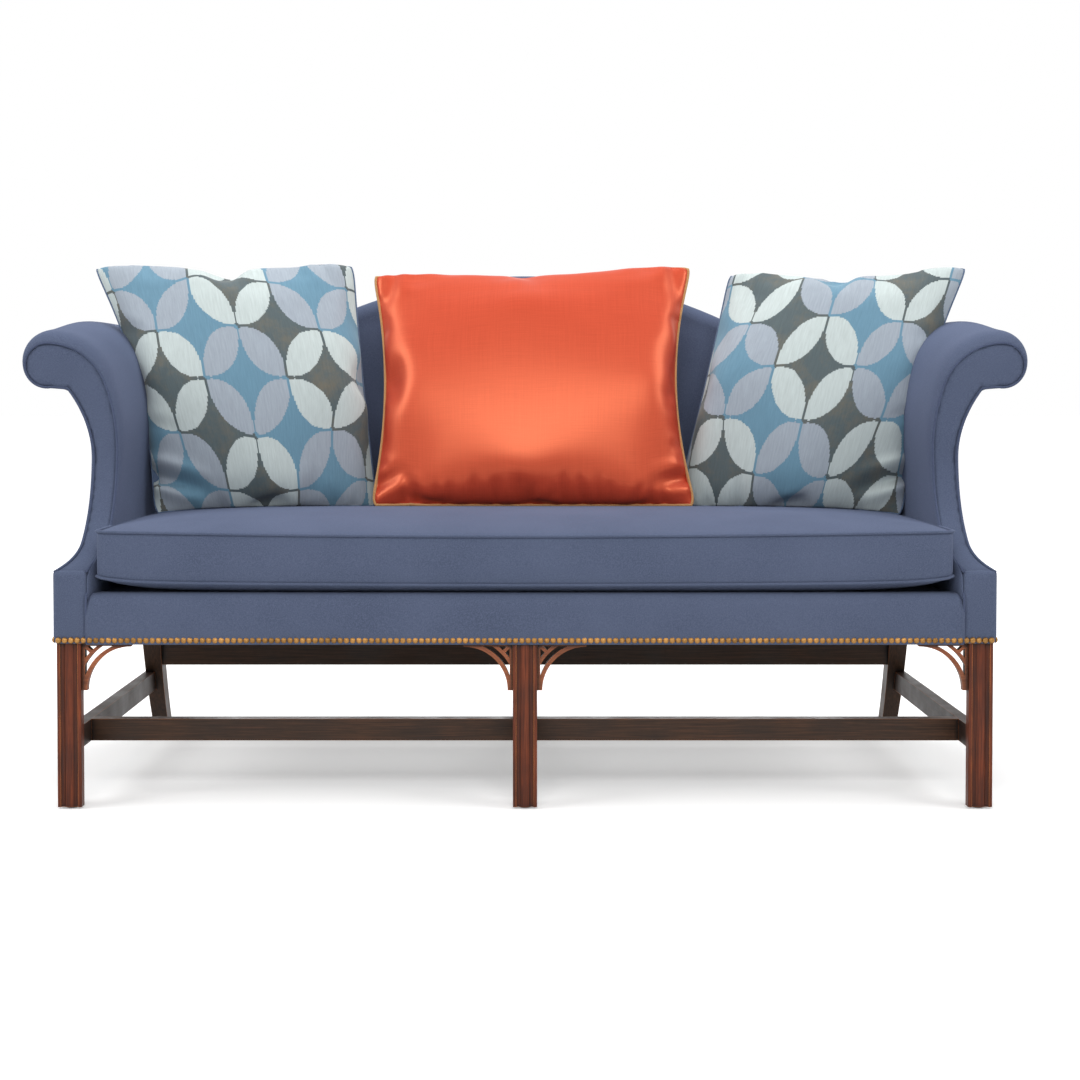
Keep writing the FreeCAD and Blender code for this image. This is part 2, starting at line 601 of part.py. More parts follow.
def straps():
    web = []
    inside = at.arm_inner - at.web_width
    for x in row_of(int(2 * inside // at.web_cross_pitch) + 1, at.web_cross_pitch):
        web.append(Part.makeBox(at.web_width, at.knee + at.cover, at.web_thick,
                                Vector(x - at.web_width / 2, at.front_y + at.cover, at.rail_top + at.web_thick)))
    middle = (at.rail_thick + at.knee) / 2
    rows = int((at.knee - at.rail_thick - at.web_width) // at.web_long_pitch) + 1
    for depth in row_of(rows, at.web_long_pitch):
        web.append(Part.makeBox(2 * (at.frame_half_width - at.cover), at.web_width, at.web_thick,
                                Vector(at.cover - at.frame_half_width,
                                       at.front_y + middle + depth - at.web_width / 2, at.rail_top)))
    return Part.makeCompound(web)


def back_straps():
    web = []
    low, high = at.border_top + at.stay_rail_at * slope, crest(at.scroll_x) - 2 * at.crest_pad
    for x in row_of(int(2 * at.back_leg_inner // at.web_cross_pitch) - 1, at.web_cross_pitch):
        strap = Part.makeBox(at.web_width, at.web_thick, (high - low) / slope,
                             Vector(x - at.web_width / 2, at.cover - at.web_thick, at.stay_rail_at))
        strap.rotate(Vector(), Vector(1, 0, 0), -at.back_rake)
        strap.translate(Vector(0, at.front_y + at.seat_depth, at.border_top))
        web.append(strap)
    return Part.makeCompound(web)


def border_section(x):
    corner = at.border_round
    steps = [(-at.cover, at.border_top - corner)]
    steps += round_to((corner - at.cover, at.border_top - corner), corner, 180, 90)
    steps += [(corner, at.border_top), (corner, at.platform_bottom), (0, at.platform_bottom), (0, at.rail_bottom)]
    return wire((-at.cover, at.rail_bottom), steps, sideways(x))


seat_web = keep(feature("seat_straps", straps()), "seat_webbing")
keep(feature("back_straps", back_straps()), "back_webbing")
keep(bar("hessian_sheet", "2 * arm_inner", "knee + cover", "hessian_thick", "-arm_inner", "0",
         "platform_bottom - hessian_thick"), "seat_hessian")
keep(bar("platform_block", "2 * arm_inner", "seat_depth - border_round", "border_top - platform_bottom",
         "-arm_inner", "border_round", "platform_bottom"), "seat_platform")
keep(bar("dust_sheet", "2 * leg_inner", "knee - leg_square", "dust_thick", "-leg_inner", "leg_square",
         "rail_bottom - dust_thick"), "dust_cover")
border = Part.Face(border_section(-at.block_inner)).extrude(Vector(2 * at.block_inner, 0, 0))
keep(feature("border_roll", border), "front_border")

# Arms


def arm_points(lift, skin=0.0, inset=0.0):
    # Circles of the arm's outline, raised by lift, thinned by skin on the outside and by inset on the rest.
    outer = at.outer_radius + skin
    shape = SimpleNamespace()
    shape.waist = ((at.arm_inner + at.waist_radius, at.flare_z + lift), at.waist_radius - inset)
    shape.shoulder = ((at.scroll_x, at.shoulder_z + lift), at.shoulder_radius - inset)
    shape.scroll = ((at.scroll_x, at.scroll_z + lift), at.scroll_radius - inset)
    shape.hollow = ((at.arm_outer + at.outer_radius, at.outer_z + lift), outer)
    notch_z = at.scroll_z + lift - shape.scroll[1]
    shape.notch_turn = math.degrees(math.asin((notch_z - shape.hollow[0][1]) / outer))
    return shape


def inner_steps(shape):
    # From the foot of the flare over the shoulder and round the scroll.
    steps = [on_circle(*shape.waist, 180)]
    steps += round_to(*shape.waist, 180, 180 - at.waist_turn)
    steps += round_to(*shape.shoulder, 180 - at.waist_turn, 90)
    steps += round_to(*shape.scroll, 90, 0, -90)
    return steps


def outer_steps(shape):
    notch = 180 - shape.notch_turn
    return [on_circle(*shape.hollow, notch)] + round_to(*shape.hollow, notch, 180)


def cove(skin):
    # The outside arm spreads from the waist to the rail on a short cove.
    spread, fall = at.cover_outer - at.arm_outer, at.cove_top - at.post_cover_top
    radius = (spread ** 2 + fall ** 2) / (2 * spread)
    centre = (at.arm_outer + radius, at.cove_top)
    return centre, radius + skin


def cove_end(skin, x):
    centre, radius = cove(skin)
    return 180 + math.degrees(math.acos((centre[0] - x) / radius))


def pad_section(lift, depth):
    shape = arm_points(lift, at.arm_skin)
    steps = inner_steps(shape) + outer_steps(shape) + [(at.arm_outer - at.arm_skin, at.platform_bottom)]
    return wire((at.arm_inner, at.platform_bottom), steps, across(depth))


def outside_section(lift, depth):
    shape, lining = arm_points(lift), arm_points(lift, at.arm_skin)
    steps = round_to(*shape.hollow, 180 - shape.notch_turn, 180)
    steps += [(at.arm_outer, at.cove_top)]
    steps += round_to(*cove(0), 180, cove_end(0, at.cover_outer))
    steps += [(at.cover_outer, at.rail_bottom), (at.frame_half_width, at.rail_bottom)]
    inner_end = cove_end(at.arm_skin, at.frame_half_width)
    steps += [on_circle(*cove(at.arm_skin), inner_end)]
    steps += round_to(*cove(at.arm_skin), inner_end, 180)
    steps += [on_circle(*lining.hollow, 180)]
    steps += round_to(*lining.hollow, 180, 180 - lining.notch_turn)
    return wire(on_circle(*shape.hollow, 180 - shape.notch_turn), steps, across(depth))


def arm_run(section):
    # Level in front of the facing, rising behind it, level again where the back meets it.
    stops = ((0, 0), (0, at.facing_setback), (at.arm_swell, at.facing_setback + at.swell_depth),
             (at.arm_rise, at.rise_end), (at.arm_rise, at.rear_reach))
    return Part.makeLoft([section(lift, depth) for lift, depth in stops], True, True)


def facing_front(back):
    # Everything in front of the facing's surface, or of that surface moved back.
    far = at.rear_reach
    centre = (at.sweep_centre, at.sweep_top)
    radius = at.facing_sweep + back
    low = -math.degrees(math.asin((at.sweep_top - at.post_cover_top) / radius))
    steps = round_to(centre, radius, low, 0)
    steps += [(at.facing_setback + back, at.crest_height), (-far, at.crest_height), (-far, at.post_cover_top)]
    front = Part.Face(wire(on_circle(centre, radius, low), steps, sideways(0)))
    return front.extrude(Vector(2 * at.scroll_x, 0, 0))


def behind(depth):
    # Everything behind a plane that leans with the back.
    reach = 2 * at.scroll_x
    tall = at.crest_height / slope
    solid = Part.Face(wire((0, -tall / 2), [(reach, -tall / 2), (reach, tall), (0, tall)],
                           lambda p: Vector(-reach, p[0], p[1]))).extrude(Vector(2 * reach, 0, 0))
    solid.rotate(Vector(), Vector(1, 0, 0), -at.back_rake)
    solid.translate(Vector(0, at.front_y + at.seat_depth + depth, at.border_top))
    return solid


def facing_outline():
    shape = arm_points(0)
    steps = [(at.arm_inner, at.facing_spread)] + inner_steps(shape) + outer_steps(shape)
    steps += [(at.arm_outer, at.cove_top)]
    steps += round_to(*cove(0), 180, cove_end(0, at.cover_outer))
    return wire((at.block_inner, at.post_cover_top), steps, across(-at.cover))


def stump_outline():
    # Board inside the padding, standing on the side rail.
    shape = arm_points(at.arm_swell / 3, at.stump_skin, at.stump_inset)
    steps = inner_steps(shape) + outer_steps(shape) + [(at.arm_outer - at.stump_skin, at.rail_top)]
    return trace((at.arm_inner + at.stump_inset, at.rail_top), steps)


front_block = Part.makeBox(at.cover_outer - at.block_inner, at.post_cover_depth + at.cover,
                           at.post_cover_top - at.rail_bottom,
                           Vector(at.block_inner, at.front_y - at.cover, at.rail_bottom))
front_room = Part.makeBox(at.cover_outer, at.post_cover_depth + at.cover, at.post_cover_top,
                          Vector(0, at.front_y - at.cover, 0))
spread_room = Part.makeBox(at.block_inner, at.facing_setback, at.facing_spread, Vector(0, at.front_y, 0))
facing_layer = facing_front(at.facing_thick).cut(facing_front(0))
facing = Part.Face(facing_outline()).extrude(Vector(0, at.rear_reach, 0)).common(facing_layer)

stump_board = padded_body("stump_board", "XZ_Plane", "stump_thick - front_y - stump_back", "stump_thick",
                          stump_outline(), backwards=True)
arm_stick = doc.addObject("Part::Cylinder", "arm_stick")
arm_stick.Placement.Rotation = FreeCAD.Rotation(Vector(1, 0, 0), at.arm_rail_slope - 90)
bind(arm_stick, Radius="arm_rail_radius", Height="arm_rail_run + 2 * housing", Placement__Base__x="scroll_x",
     Placement__Base__y="front_y + stump_back - housing", Placement__Base__z="scroll_z + arm_swell")
arm_rail_twin = mirrored(arm_stick, "arm_stick_twin")
keep(arm_stick, "arm_rail_right")
keep(arm_rail_twin, "arm_rail_left")
crest_rail = keep(cut("crest_cut", crest_board, joined("arm_sticks", arm_stick, arm_rail_twin)), "crest_rail")


def less(shape, *others):
    for other in others:
        shape = shape.cut(other)
    return shape


def pair(shape, name):
    right = keep(feature(name + "_body", shape), name + "_right")
    keep(mirrored(right, name + "_twin"), name + "_left")
    return right


def facing_piping():
    # Welt just in front of the facing's edge, from the post cover up over the scroll, and up the outer edge.
    shape = arm_points(0, at.welt_radius, at.welt_radius)
    centre, radius = (at.sweep_centre, at.sweep_top), at.facing_sweep - at.welt_radius
    low = -math.degrees(math.asin((at.sweep_top - at.post_cover_top - 2 * at.welt_radius) / radius))
    front = at.facing_setback - at.welt_radius

    def tube(x, steps):
        foot = trace(on_circle(centre, radius, low), round_to(centre, radius, low, 0), sideways(x), closed=False)
        rest = trace((x, at.sweep_top), steps, across(front), closed=False)
        path = Part.Wire([curve.toShape() for curve in foot + rest])
        start = foot[0]
        ring = Part.Wire(Part.Circle(start.StartPoint, start.tangent(start.FirstParameter)[0],
                                     at.welt_radius).toShape())
        return path.makePipeShell([ring], True, False)

    inner = tube(at.arm_inner + at.welt_radius, inner_steps(shape)[1:])
    climb = round_to(*shape.hollow, 180, 180 - shape.notch_turn)
    outer = tube(at.arm_outer - at.welt_radius, climb)
    return Part.makeCompound([inner, outer])


doc.recompute()
rear_plane = behind(at.post_depth)
front_cut = facing_front(at.facing_thick)
outside_arm = pair(less(arm_run(outside_section), front_cut, front_block, rear_plane), "outside_arm")
stump_rooms = joined("stump_rooms", arm_stick, outside_arm, seat_web)
stump = keep(cut("stump_cut", stump_board, stump_rooms), "arm_stump_right")
keep(mirrored(stump, "stump_twin"), "arm_stump_left")
frame_room = Part.makeBox(at.frame_half_width, at.seat_depth, at.rail_height,
                          Vector(0, at.front_y, at.rail_bottom))
pair(less(front_block, frame_room, front_leg.Shape, seat_web.Shape), "post_cover")
pair(less(arm_run(pad_section), front_cut, front_room, spread_room, rear_plane, crest_board.Shape,
          stump_board.Shape, arm_stick.Shape, back_leg.Shape, stay_rail.Shape), "inside_arm")
pair(facing, "arm_facing")
pair(facing_piping(), "arm_welt")

# Back


def back_section(x):
    # Crowned front, rolled crest, and a straight rear that lies on the outside back.
    top, low = crest(x), at.border_top
    turn_z = top - at.crest_round
    front_low, front_high = raked(-at.back_pad, low), raked(-at.back_pad, turn_z)
    steps = [(((front_low + front_high) / 2 - at.back_crown, (low + turn_z) / 2), (front_high, turn_z))]
    steps += round_to((front_high + at.crest_round, turn_z), at.crest_round, 180, 90)
    steps += [(raked(at.post_depth, top - at.crest_fall), top - at.crest_fall), (raked(at.post_depth, low), low)]
    return wire((front_low, low), steps, sideways(x))


def beyond_arm():
    # Everything outside the inner face of an arm where it meets the back.
    far = 2 * at.scroll_x
    steps = inner_steps(arm_points(at.arm_rise))[:3] + [(far, at.roll_top), (far, 0)]
    return Part.Face(wire((at.arm_inner, 0), steps, across(0))).extrude(Vector(0, 2 * at.rear_reach, 0))


def back_outline():
    # Rear view: serpentine crest, arm scrolls, hollow sides.
    shape = arm_points(at.arm_rise)
    side = round_to(*shape.scroll, 90, 0, -90) + outer_steps(shape) + [(at.arm_outer, at.cove_top)]
    side += round_to(*cove(0), 180, cove_end(0, at.cover_outer)) + [(at.cover_outer, at.rail_bottom)]
    right = [curve.toShape() for curve in trace((at.scroll_x, at.roll_top), side, across(0), closed=False)]
    left = [edge.mirror(Vector(), Vector(1, 0, 0)) for edge in right]
    top = trace((-at.scroll_x, at.roll_top), crest_steps(0, at.scroll_x), across(0), closed=False)
    foot = Part.LineSegment(*(across(0)((end, at.rail_bottom)) for end in (-at.cover_outer, at.cover_outer)))
    edges = right + left + [curve.toShape() for curve in top] + [foot.toShape()]
    return Part.Wire(Part.__sortEdges__(edges))


wing_end = at.scroll_x - at.wing_inset
half_stations = [0, hump_end / 3, 2 * hump_end / 3, hump_end, (hump_end + dip_at) / 2, dip_at,
                 (dip_at + wing_end) / 2, wing_end]
stations = [-x for x in reversed(half_stations[1:])] + half_stations
stuffing = Part.makeLoft([back_section(x) for x in stations], True, False)
right_side = beyond_arm()
left_side = right_side.mirror(Vector(), Vector(1, 0, 0))
frame_pieces = [piece.Shape for piece in nodes if piece.Label in
                ("back_leg_right", "back_leg_left", "stay_rail", "back_uprights", "crest_rail", "back_webbing")]
keep(feature("back_stuffing", less(stuffing, right_side, left_side, *frame_pieces)), "inside_back")
back_sheet = Part.Face(back_outline()).extrude(Vector(0, 2 * at.rear_reach, 0))
back_layer = rear_plane.cut(behind(at.post_depth + at.panel))
keep(feature("back_cloth", back_sheet.common(back_layer)), "outside_back")

# Brass nails


def nail():
    # Domed head on a short shank, driven along +Y.
    ball = (at.nail_radius ** 2 + at.nail_height ** 2) / (2 * at.nail_height)
    rim = math.degrees(math.asin((ball - at.nail_height) / ball))
    head = Part.makeSphere(ball, Vector(0, ball - at.nail_height, 0), Vector(0, -1, 0), rim, 90, 360)
    return head.fuse(Part.makeCylinder(at.shank_radius, at.shank_length, Vector(), Vector(0, 1, 0)))


def nail_row(length):
    count = int(length // at.nail_pitch) + 1
    return row_of(count, length / (count - 1))


def nails():
    z = at.rail_bottom + at.nail_up
    single = nail()
    driven = [single.translated(Vector(x, at.front_y - at.cover, z))
              for x in nail_row(2 * (at.frame_half_width - at.nail_radius))]
    turned = single.rotated(Vector(), Vector(0, 0, 1), 90)
    run = at.knee - at.nail_pitch
    for depth in nail_row(run):
        right = turned.translated(Vector(at.cover_outer, at.front_y + run / 2 + at.nail_pitch / 2 + depth, z))
        driven += [right, right.mirror(Vector(), Vector(1, 0, 0))]
    return Part.makeCompound(driven)


keep(feature("dome_nails", nails()), "brass_nails")

# Seat cushion


def cushion_section(x, half, inset):
    # Boxed cushion: crowned top, swelling borders, and a flat base with rolled edges; the crown dies at the ends.
    share = 1 - (x / half) ** 4
    corner = 0 if share else at.cushion_corner
    front, back = at.cushion_front + inset + corner, at.cushion_front + at.cushion_depth - inset - corner
    low, high = at.cushion_bottom_seam + inset, at.cushion_top_seam - inset
    crown = at.cushion_droop + (at.cushion_crown - at.cushion_droop) * share
    fall = (low - at.cushion_floor - inset) * (at.cushion_end_base + (1 - at.cushion_end_base) * share)
    roll = 2 * (at.cushion_bottom_seam - at.cushion_floor)
    floor, middle = low - fall, (low + high) / 2
    radius = (roll ** 2 + fall ** 2) / (2 * fall)
    turn = math.degrees(math.asin(roll / radius))
    steps = [((front - at.cushion_bulge, middle), (front, high))]
    steps += [(((front + back) / 2, high + crown), (back, high))]
    steps += [((back + at.cushion_bulge, middle), (back, low))]
    steps += round_to((back - roll, floor + radius), radius, 270 + turn, 270) + [(front + roll, floor)]
    steps += round_to((front + roll, floor + radius), radius, 270, 270 - turn)
    return wire((front, low), steps, sideways(x))


def cushion_solid(inset):
    half = at.cushion_half - inset
    shares = (-1, -0.98, -0.9, -0.75, -0.5, -0.2, 0.2, 0.5, 0.75, 0.9, 0.98, 1)
    return Part.makeLoft([cushion_section(share * half, half, inset) for share in shares], True, True)


def welt_loop(z):
    # Piping round a seam of the boxed cushion.
    corner = at.cushion_corner
    half = at.cushion_half - at.cushion_welt
    front, back = at.cushion_front, at.cushion_front + at.cushion_depth

    def spot(point):
        return Vector(point[0], at.front_y + point[1], z)

    steps = [(half - corner, front)] + round_to((half - corner, front + corner), corner, -90, 0)
    steps += [(half, back - corner)] + round_to((half - corner, back - corner), corner, 0, 90)
    steps += [(corner - half, back)] + round_to((corner - half, back - corner), corner, 90, 180)
    steps += [(-half, front + corner)] + round_to((corner - half, front + corner), corner, 180, 270)
    path = wire((0, front), steps, spot)
    ring = Part.Wire(Part.Circle(spot((0, front)), Vector(1, 0, 0), at.cushion_welt).toShape())
    return path.makePipeShell([ring], True, False)


cushion = cushion_solid(0)
filling = cushion_solid(at.cushion_casing)
keep(feature("casing", cushion.cut(filling)), "seat_cushion_casing")
keep(feature("filling", filling), "seat_cushion_filling")
keep(feature("welts", Part.makeCompound([welt_loop(at.cushion_bottom_seam), welt_loop(at.cushion_top_seam)])),
     "seat_cushion_welts")

# Scatter cushions


def seat_height(x, depth):
    line = Part.makeLine(Vector(x, at.front_y + depth, at.cushion_bottom_seam),
                         Vector(x, at.front_y + depth, at.crest_height))
    return line.common(cushion).BoundBox.ZMax


def seat_plane(x, depth):
    # Where a cushion's foot meets the crowned seat, with the seat's slope there.
    step = at.nail_pitch
    rise_x = (seat_height(x + step, depth) - seat_height(x - step, depth)) / (2 * step)
    rise_y = (seat_height(x, depth + step) - seat_height(x, depth - step)) / (2 * step)
    return Vector(x, at.front_y + depth, seat_height(x, depth)), Vector(-rise_x, -rise_y, 1).normalize()


def below_seat(point, normal):
    wide = 2 * at.cushion_half
    slab = Part.makeBox(wide, wide, wide, Vector(-wide / 2, -wide / 2, -wide))
    slab.Placement = FreeCAD.Placement(point + normal * at.clearance, FreeCAD.Rotation(Vector(0, 0, 1), normal))
    return slab


class Pillow:
    # A knife-edged cushion set on the seat by its foot, turned, leaning back and slumping sideways.
    def __init__(self, foot, width, top_width, height, crown, angles, draws):
        turn, lean, slump = (math.radians(angle) for angle in angles)
        self.point, self.normal = seat_plane(*foot)
        self.foot = self.point - self.normal * at.pillow_sink
        self.along = Vector(math.cos(turn), math.sin(turn), 0)
        self.up = Vector(math.tan(slump), math.tan(lean), 1).normalize() * height
        self.front = self.along.cross(self.up).normalize()
        self.width, self.top_width, self.height, self.crown = width, top_width, height, crown
        self.draws = draws

    def edges(self, share):
        # Foot and top of the section at a share of the width, with the top drawn in along the middle.
        offset = share - 0.5
        draw = at.pillow_draw * (1 - 4 * offset ** 2)
        top = self.foot + self.up + self.along * (self.top_width * offset)
        return self.foot + self.along * (self.width * offset), top - self.up * (draw / self.height)

    def section(self, share):
        low, high = self.edges(share)
        fullness = (1 - (2 * share - 1) ** 2) ** at.pillow_fullness
        swell = at.pillow_edge / 2 + (self.crown - at.pillow_edge) / 2 * fullness
        middle = (low + high) * 0.5
        sides = (Part.Arc(low, middle + self.front * swell, high),
                 Part.Arc(high, middle - self.front * swell, low))
        return Part.Wire([side.toShape() for side in sides])

    def side_bow(self, share):
        # Middle of a side seam after it is drawn in, and the circle that it lies on.
        low, high = self.edges(share)
        chord, draw = (high - low).Length, self.draws[share]
        radius = (chord ** 2 / 4 + draw ** 2) / (2 * draw)
        outward = (high - low).normalize().cross(self.front) * (2 * share - 1)
        middle = (low + high) * 0.5 - outward * draw
        return low, middle, high, middle + outward * radius, radius

    def solid(self):
        shape = Part.makeLoft([self.section(share) for share in (0, 0.06, 0.25, 0.5, 0.75, 0.94, 1)], True, False)
        for share in (0, 1):
            centre, radius = self.side_bow(share)[3:]
            drum = Part.makeCylinder(radius, 2 * self.crown, centre - self.front * self.crown, self.front)
            shape = shape.cut(drum)
        return shape.cut(below_seat(self.point, self.normal))

    def piping(self, radius):
        # Contrast cord along the top, and along both sides down to just above the seat.
        runs = [Part.Arc(*(self.edges(share)[1] for share in (0, 0.5, 1)))]
        for share in (0, 1):
            side = Part.Arc(*self.side_bow(share)[:3])
            span = side.LastParameter - side.FirstParameter
            foot = (at.pillow_sink + at.clearance + 2 * radius) / self.height
            runs.append(Part.Arc(*(side.value(side.FirstParameter + span * way) for way in (foot, 0.5, 1))))
        tubes = []
        for run in runs:
            ring = Part.Circle(run.StartPoint, run.tangent(run.FirstParameter)[0], radius)
            tubes.append(Part.Wire(run.toShape()).makePipeShell([Part.Wire(ring.toShape())], True, False))
        return Part.makeCompound(tubes)


side_draws = (at.side_pillow_hug, at.pillow_draw)
for name, side, draws in (("left", -1, side_draws), ("right", 1, side_draws[::-1])):
    patterned = Pillow((side * at.side_pillow_at, at.side_pillow_back), at.side_pillow_width, at.side_pillow_top,
                       at.side_pillow_height, at.side_pillow_crown,
                       (-side * at.side_pillow_turn, at.side_pillow_lean, side * at.side_pillow_slump), draws)
    keep(feature(name + "_square", patterned.solid()), name + "_pillow")
silk = Pillow((at.silk_at, at.silk_back), at.silk_width, at.silk_width, at.silk_height, at.silk_crown,
              (0, at.silk_lean, 0), (at.pillow_draw, at.pillow_draw))
keep(feature("silk_square", silk.solid()), "silk_pillow")
keep(feature("silk_cord", silk.piping(at.silk_piping)), "silk_pillow_piping")

# Every piece is checked before any is written

doc.recompute()
failed = [item.Label for item in doc.Objects if {"Invalid", "Error"} & set(item.State)]
failed += [node.Label for node in nodes if node.Shape.isNull() or not node.Shape.isValid()]
if failed:
    raise SystemExit("These pieces failed: " + ", ".join(failed))
os.makedirs("parts", exist_ok=True)
for node in nodes:
    node.Shape.exportStep(f"parts/{node.Label}.step")
print(len(nodes), "pieces written")
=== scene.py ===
import math
import bmesh
import bpy
import numpy as np
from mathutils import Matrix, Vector, noise
from mathutils.geometry import delaunay_2d_cdt


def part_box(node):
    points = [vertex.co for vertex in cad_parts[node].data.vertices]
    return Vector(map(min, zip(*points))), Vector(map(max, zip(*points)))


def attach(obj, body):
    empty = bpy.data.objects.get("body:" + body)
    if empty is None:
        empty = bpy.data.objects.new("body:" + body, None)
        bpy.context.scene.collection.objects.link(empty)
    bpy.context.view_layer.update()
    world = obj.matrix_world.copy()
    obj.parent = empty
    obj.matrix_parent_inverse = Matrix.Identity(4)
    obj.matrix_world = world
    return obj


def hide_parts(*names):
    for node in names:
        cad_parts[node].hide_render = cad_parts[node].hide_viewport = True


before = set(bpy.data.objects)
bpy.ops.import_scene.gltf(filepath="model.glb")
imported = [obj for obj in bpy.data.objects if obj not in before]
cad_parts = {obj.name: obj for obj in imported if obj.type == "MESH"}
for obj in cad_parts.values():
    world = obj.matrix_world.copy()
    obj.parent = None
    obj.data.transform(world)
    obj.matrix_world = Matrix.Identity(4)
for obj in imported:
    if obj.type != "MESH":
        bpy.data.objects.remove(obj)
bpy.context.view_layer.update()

scene = bpy.context.scene
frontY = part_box("front_rail")[0].y  # front face of the legs; depths below run back from it, in mm
print("frame loaded")


def linear(code):
    # sRGB hex to the linear colour that a shader socket takes
    parts = [int(code[i:i + 2], 16) / 255 for i in (1, 3, 5)]
    return tuple(c / 12.92 if c <= 0.04045 else ((c + 0.055) / 1.055) ** 2.4 for c in parts) + (1.0,)


def addNode(tree, kind, sockets=None, stops=(), **settings):
    # a node given to a socket stands for its first live output, a hex code for its colour; stops are the
    # places and colours on a ramp, and a kind without its family is a shader node
    node = tree.nodes.new(kind if "Node" in kind else "ShaderNode" + kind)
    for name, value in settings.items():
        setattr(node, name, value)
    for key, value in (sockets or {}).items():
        if isinstance(value, bpy.types.Node):
            value = next(socket for socket in value.outputs if socket.enabled)
        if isinstance(value, bpy.types.NodeSocket):
            tree.links.new(value, node.inputs[key])
        else:
            node.inputs[key].default_value = linear(value) if isinstance(value, str) else value
    for k, (at, colour) in enumerate(stops):
        stop = node.color_ramp.elements[k] if k < 2 else node.color_ramp.elements.new(at)
        stop.position, stop.color = at, linear(colour)
    return node


def newMaterial(name, shaderSettings):
    material = bpy.data.materials.new(name)
    material.use_nodes = True
    tree = material.node_tree
    shader = tree.nodes["Principled BSDF"]
    for key, value in shaderSettings.items():
        shader.inputs[key].default_value = value
    return material, tree, shader


def dressShader(tree, shader, colour, height, strength, deepMm):
    # leads colour and fine relief into a shader
    tree.links.new(colour, shader.inputs["Base Color"])
    bump = addNode(tree, "Bump", {"Height": height, "Strength": strength, "Distance": deepMm / 1000})
    tree.links.new(bump.outputs["Normal"], shader.inputs["Normal"])


def perMm(across, along):
    # scale that turns a map in mm into one of threads or streaks of this size
    return (1 / across, 1 / along, 1)


def place(x, depth, z):
    # mm across, behind the legs' face and up, to metres in the sofa's frame
    return (x / 1000, frontY + depth / 1000, z / 1000)


def makePiece(name, verts, faces, *materials):
    mesh = bpy.data.meshes.new(name)
    mesh.from_pydata([tuple(v) for v in verts], [], [tuple(f) for f in faces])
    mesh.validate()
    mesh.polygons.foreach_set("use_smooth", [True] * len(mesh.polygons))
    for material in materials:
        mesh.materials.append(material)
    piece = bpy.data.objects.new(name, mesh)
    scene.collection.objects.link(piece)
    return piece


def workPiece(name, work, material):
    # piece from a bmesh, which is used up
    piece = makePiece(name, [], [], material)
    work.to_mesh(piece.data)
    work.free()
    piece.data.polygons.foreach_set("use_smooth", [True] * len(piece.data.polygons))
    return piece


def gridFaces(rows, cols, closed=False, flip=False):
    faces = []
    for r in range(rows - 1):
        for c in range(cols if closed else cols - 1):
            d = (c + 1) % cols
            quad = (r * cols + c, r * cols + d, (r + 1) * cols + d, (r + 1) * cols + c)
            faces.append(quad[::-1] if flip else quad)
    return faces


def gridPiece(name, points, material, flip=False):
    faces = gridFaces(len(points), len(points[0]), flip=flip)
    return makePiece(name, [p for row in points for p in row], faces, material)


def tubePiece(name, path, radius, material, loop=False, sides=10):
    # round cord along a path, with its rings carried on without twist
    path = [Vector(p) for p in path]
    count = len(path)
    verts, side = [], None
    for i, p in enumerate(path):
        a = path[i - 1] if loop or i else path[0]
        b = path[(i + 1) % count] if loop or i < count - 1 else path[-1]
        ahead = (b - a).normalized()
        if side is None:
            side = ahead.orthogonal().normalized()
        side = (side - ahead * side.dot(ahead)).normalized()
        up = ahead.cross(side)
        for k in range(sides):
            turn = 2 * math.pi * k / sides
            verts.append(p + (side * math.cos(turn) + up * math.sin(turn)) * radius)
    faces = gridFaces(count, sides, closed=True)
    if loop:
        last = (count - 1) * sides
        faces += [(last + k, last + (k + 1) % sides, (k + 1) % sides, k) for k in range(sides)]
    else:
        faces += [tuple(reversed(range(sides))), tuple(range((count - 1) * sides, count * sides))]
    piece = makePiece(name, verts, faces, material)
    recalcNormals(piece)
    return piece


def recalcNormals(piece):
    work = bmesh.new()
    work.from_mesh(piece.data)
    bmesh.ops.remove_doubles(work, verts=work.verts, dist=1e-6)
    bmesh.ops.recalc_face_normals(work, faces=work.faces)
    work.to_mesh(piece.data)
    work.free()


def mirrorPiece(piece, name):
    # left-hand twin of a right-hand piece, with its faces turned back outwards
    verts = [(-v.co.x, v.co.y, v.co.z) for v in piece.data.vertices]
    faces = [tuple(reversed(p.vertices)) for p in piece.data.polygons]
    return makePiece(name, verts, faces, *piece.data.materials)


def addModifier(piece, kind, **settings):
    modifier = piece.modifiers.new(kind.title(), kind)
    for name, value in settings.items():
        setattr(modifier, name, value)


def smoothOnce(piece):
    addModifier(piece, "SUBSURF", levels=1, render_levels=1)


def finishPiece(piece, body, slotName, *nodes, fill=None):
    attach(piece, body)
    if nodes:
        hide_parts(*nodes)


def smoothStep(x, low, high):
    t = np.clip((np.asarray(x, float) - low) / (high - low), 0, 1)
    return t * t * (3 - 2 * t)


def ripple(p, sizeMm, seed):
    # slow unevenness of stuffed cloth, from -1 to 1
    return noise.noise(Vector(p) * (1000 / sizeMm) + Vector((seed, -seed, 2 * seed)))


wool = {"mid": "#4a5369", "light": "#59627a", "dark": "#414a5f", "fleck": "#78829b",
        "fibreMm": 1.8, "cloudMm": 150}


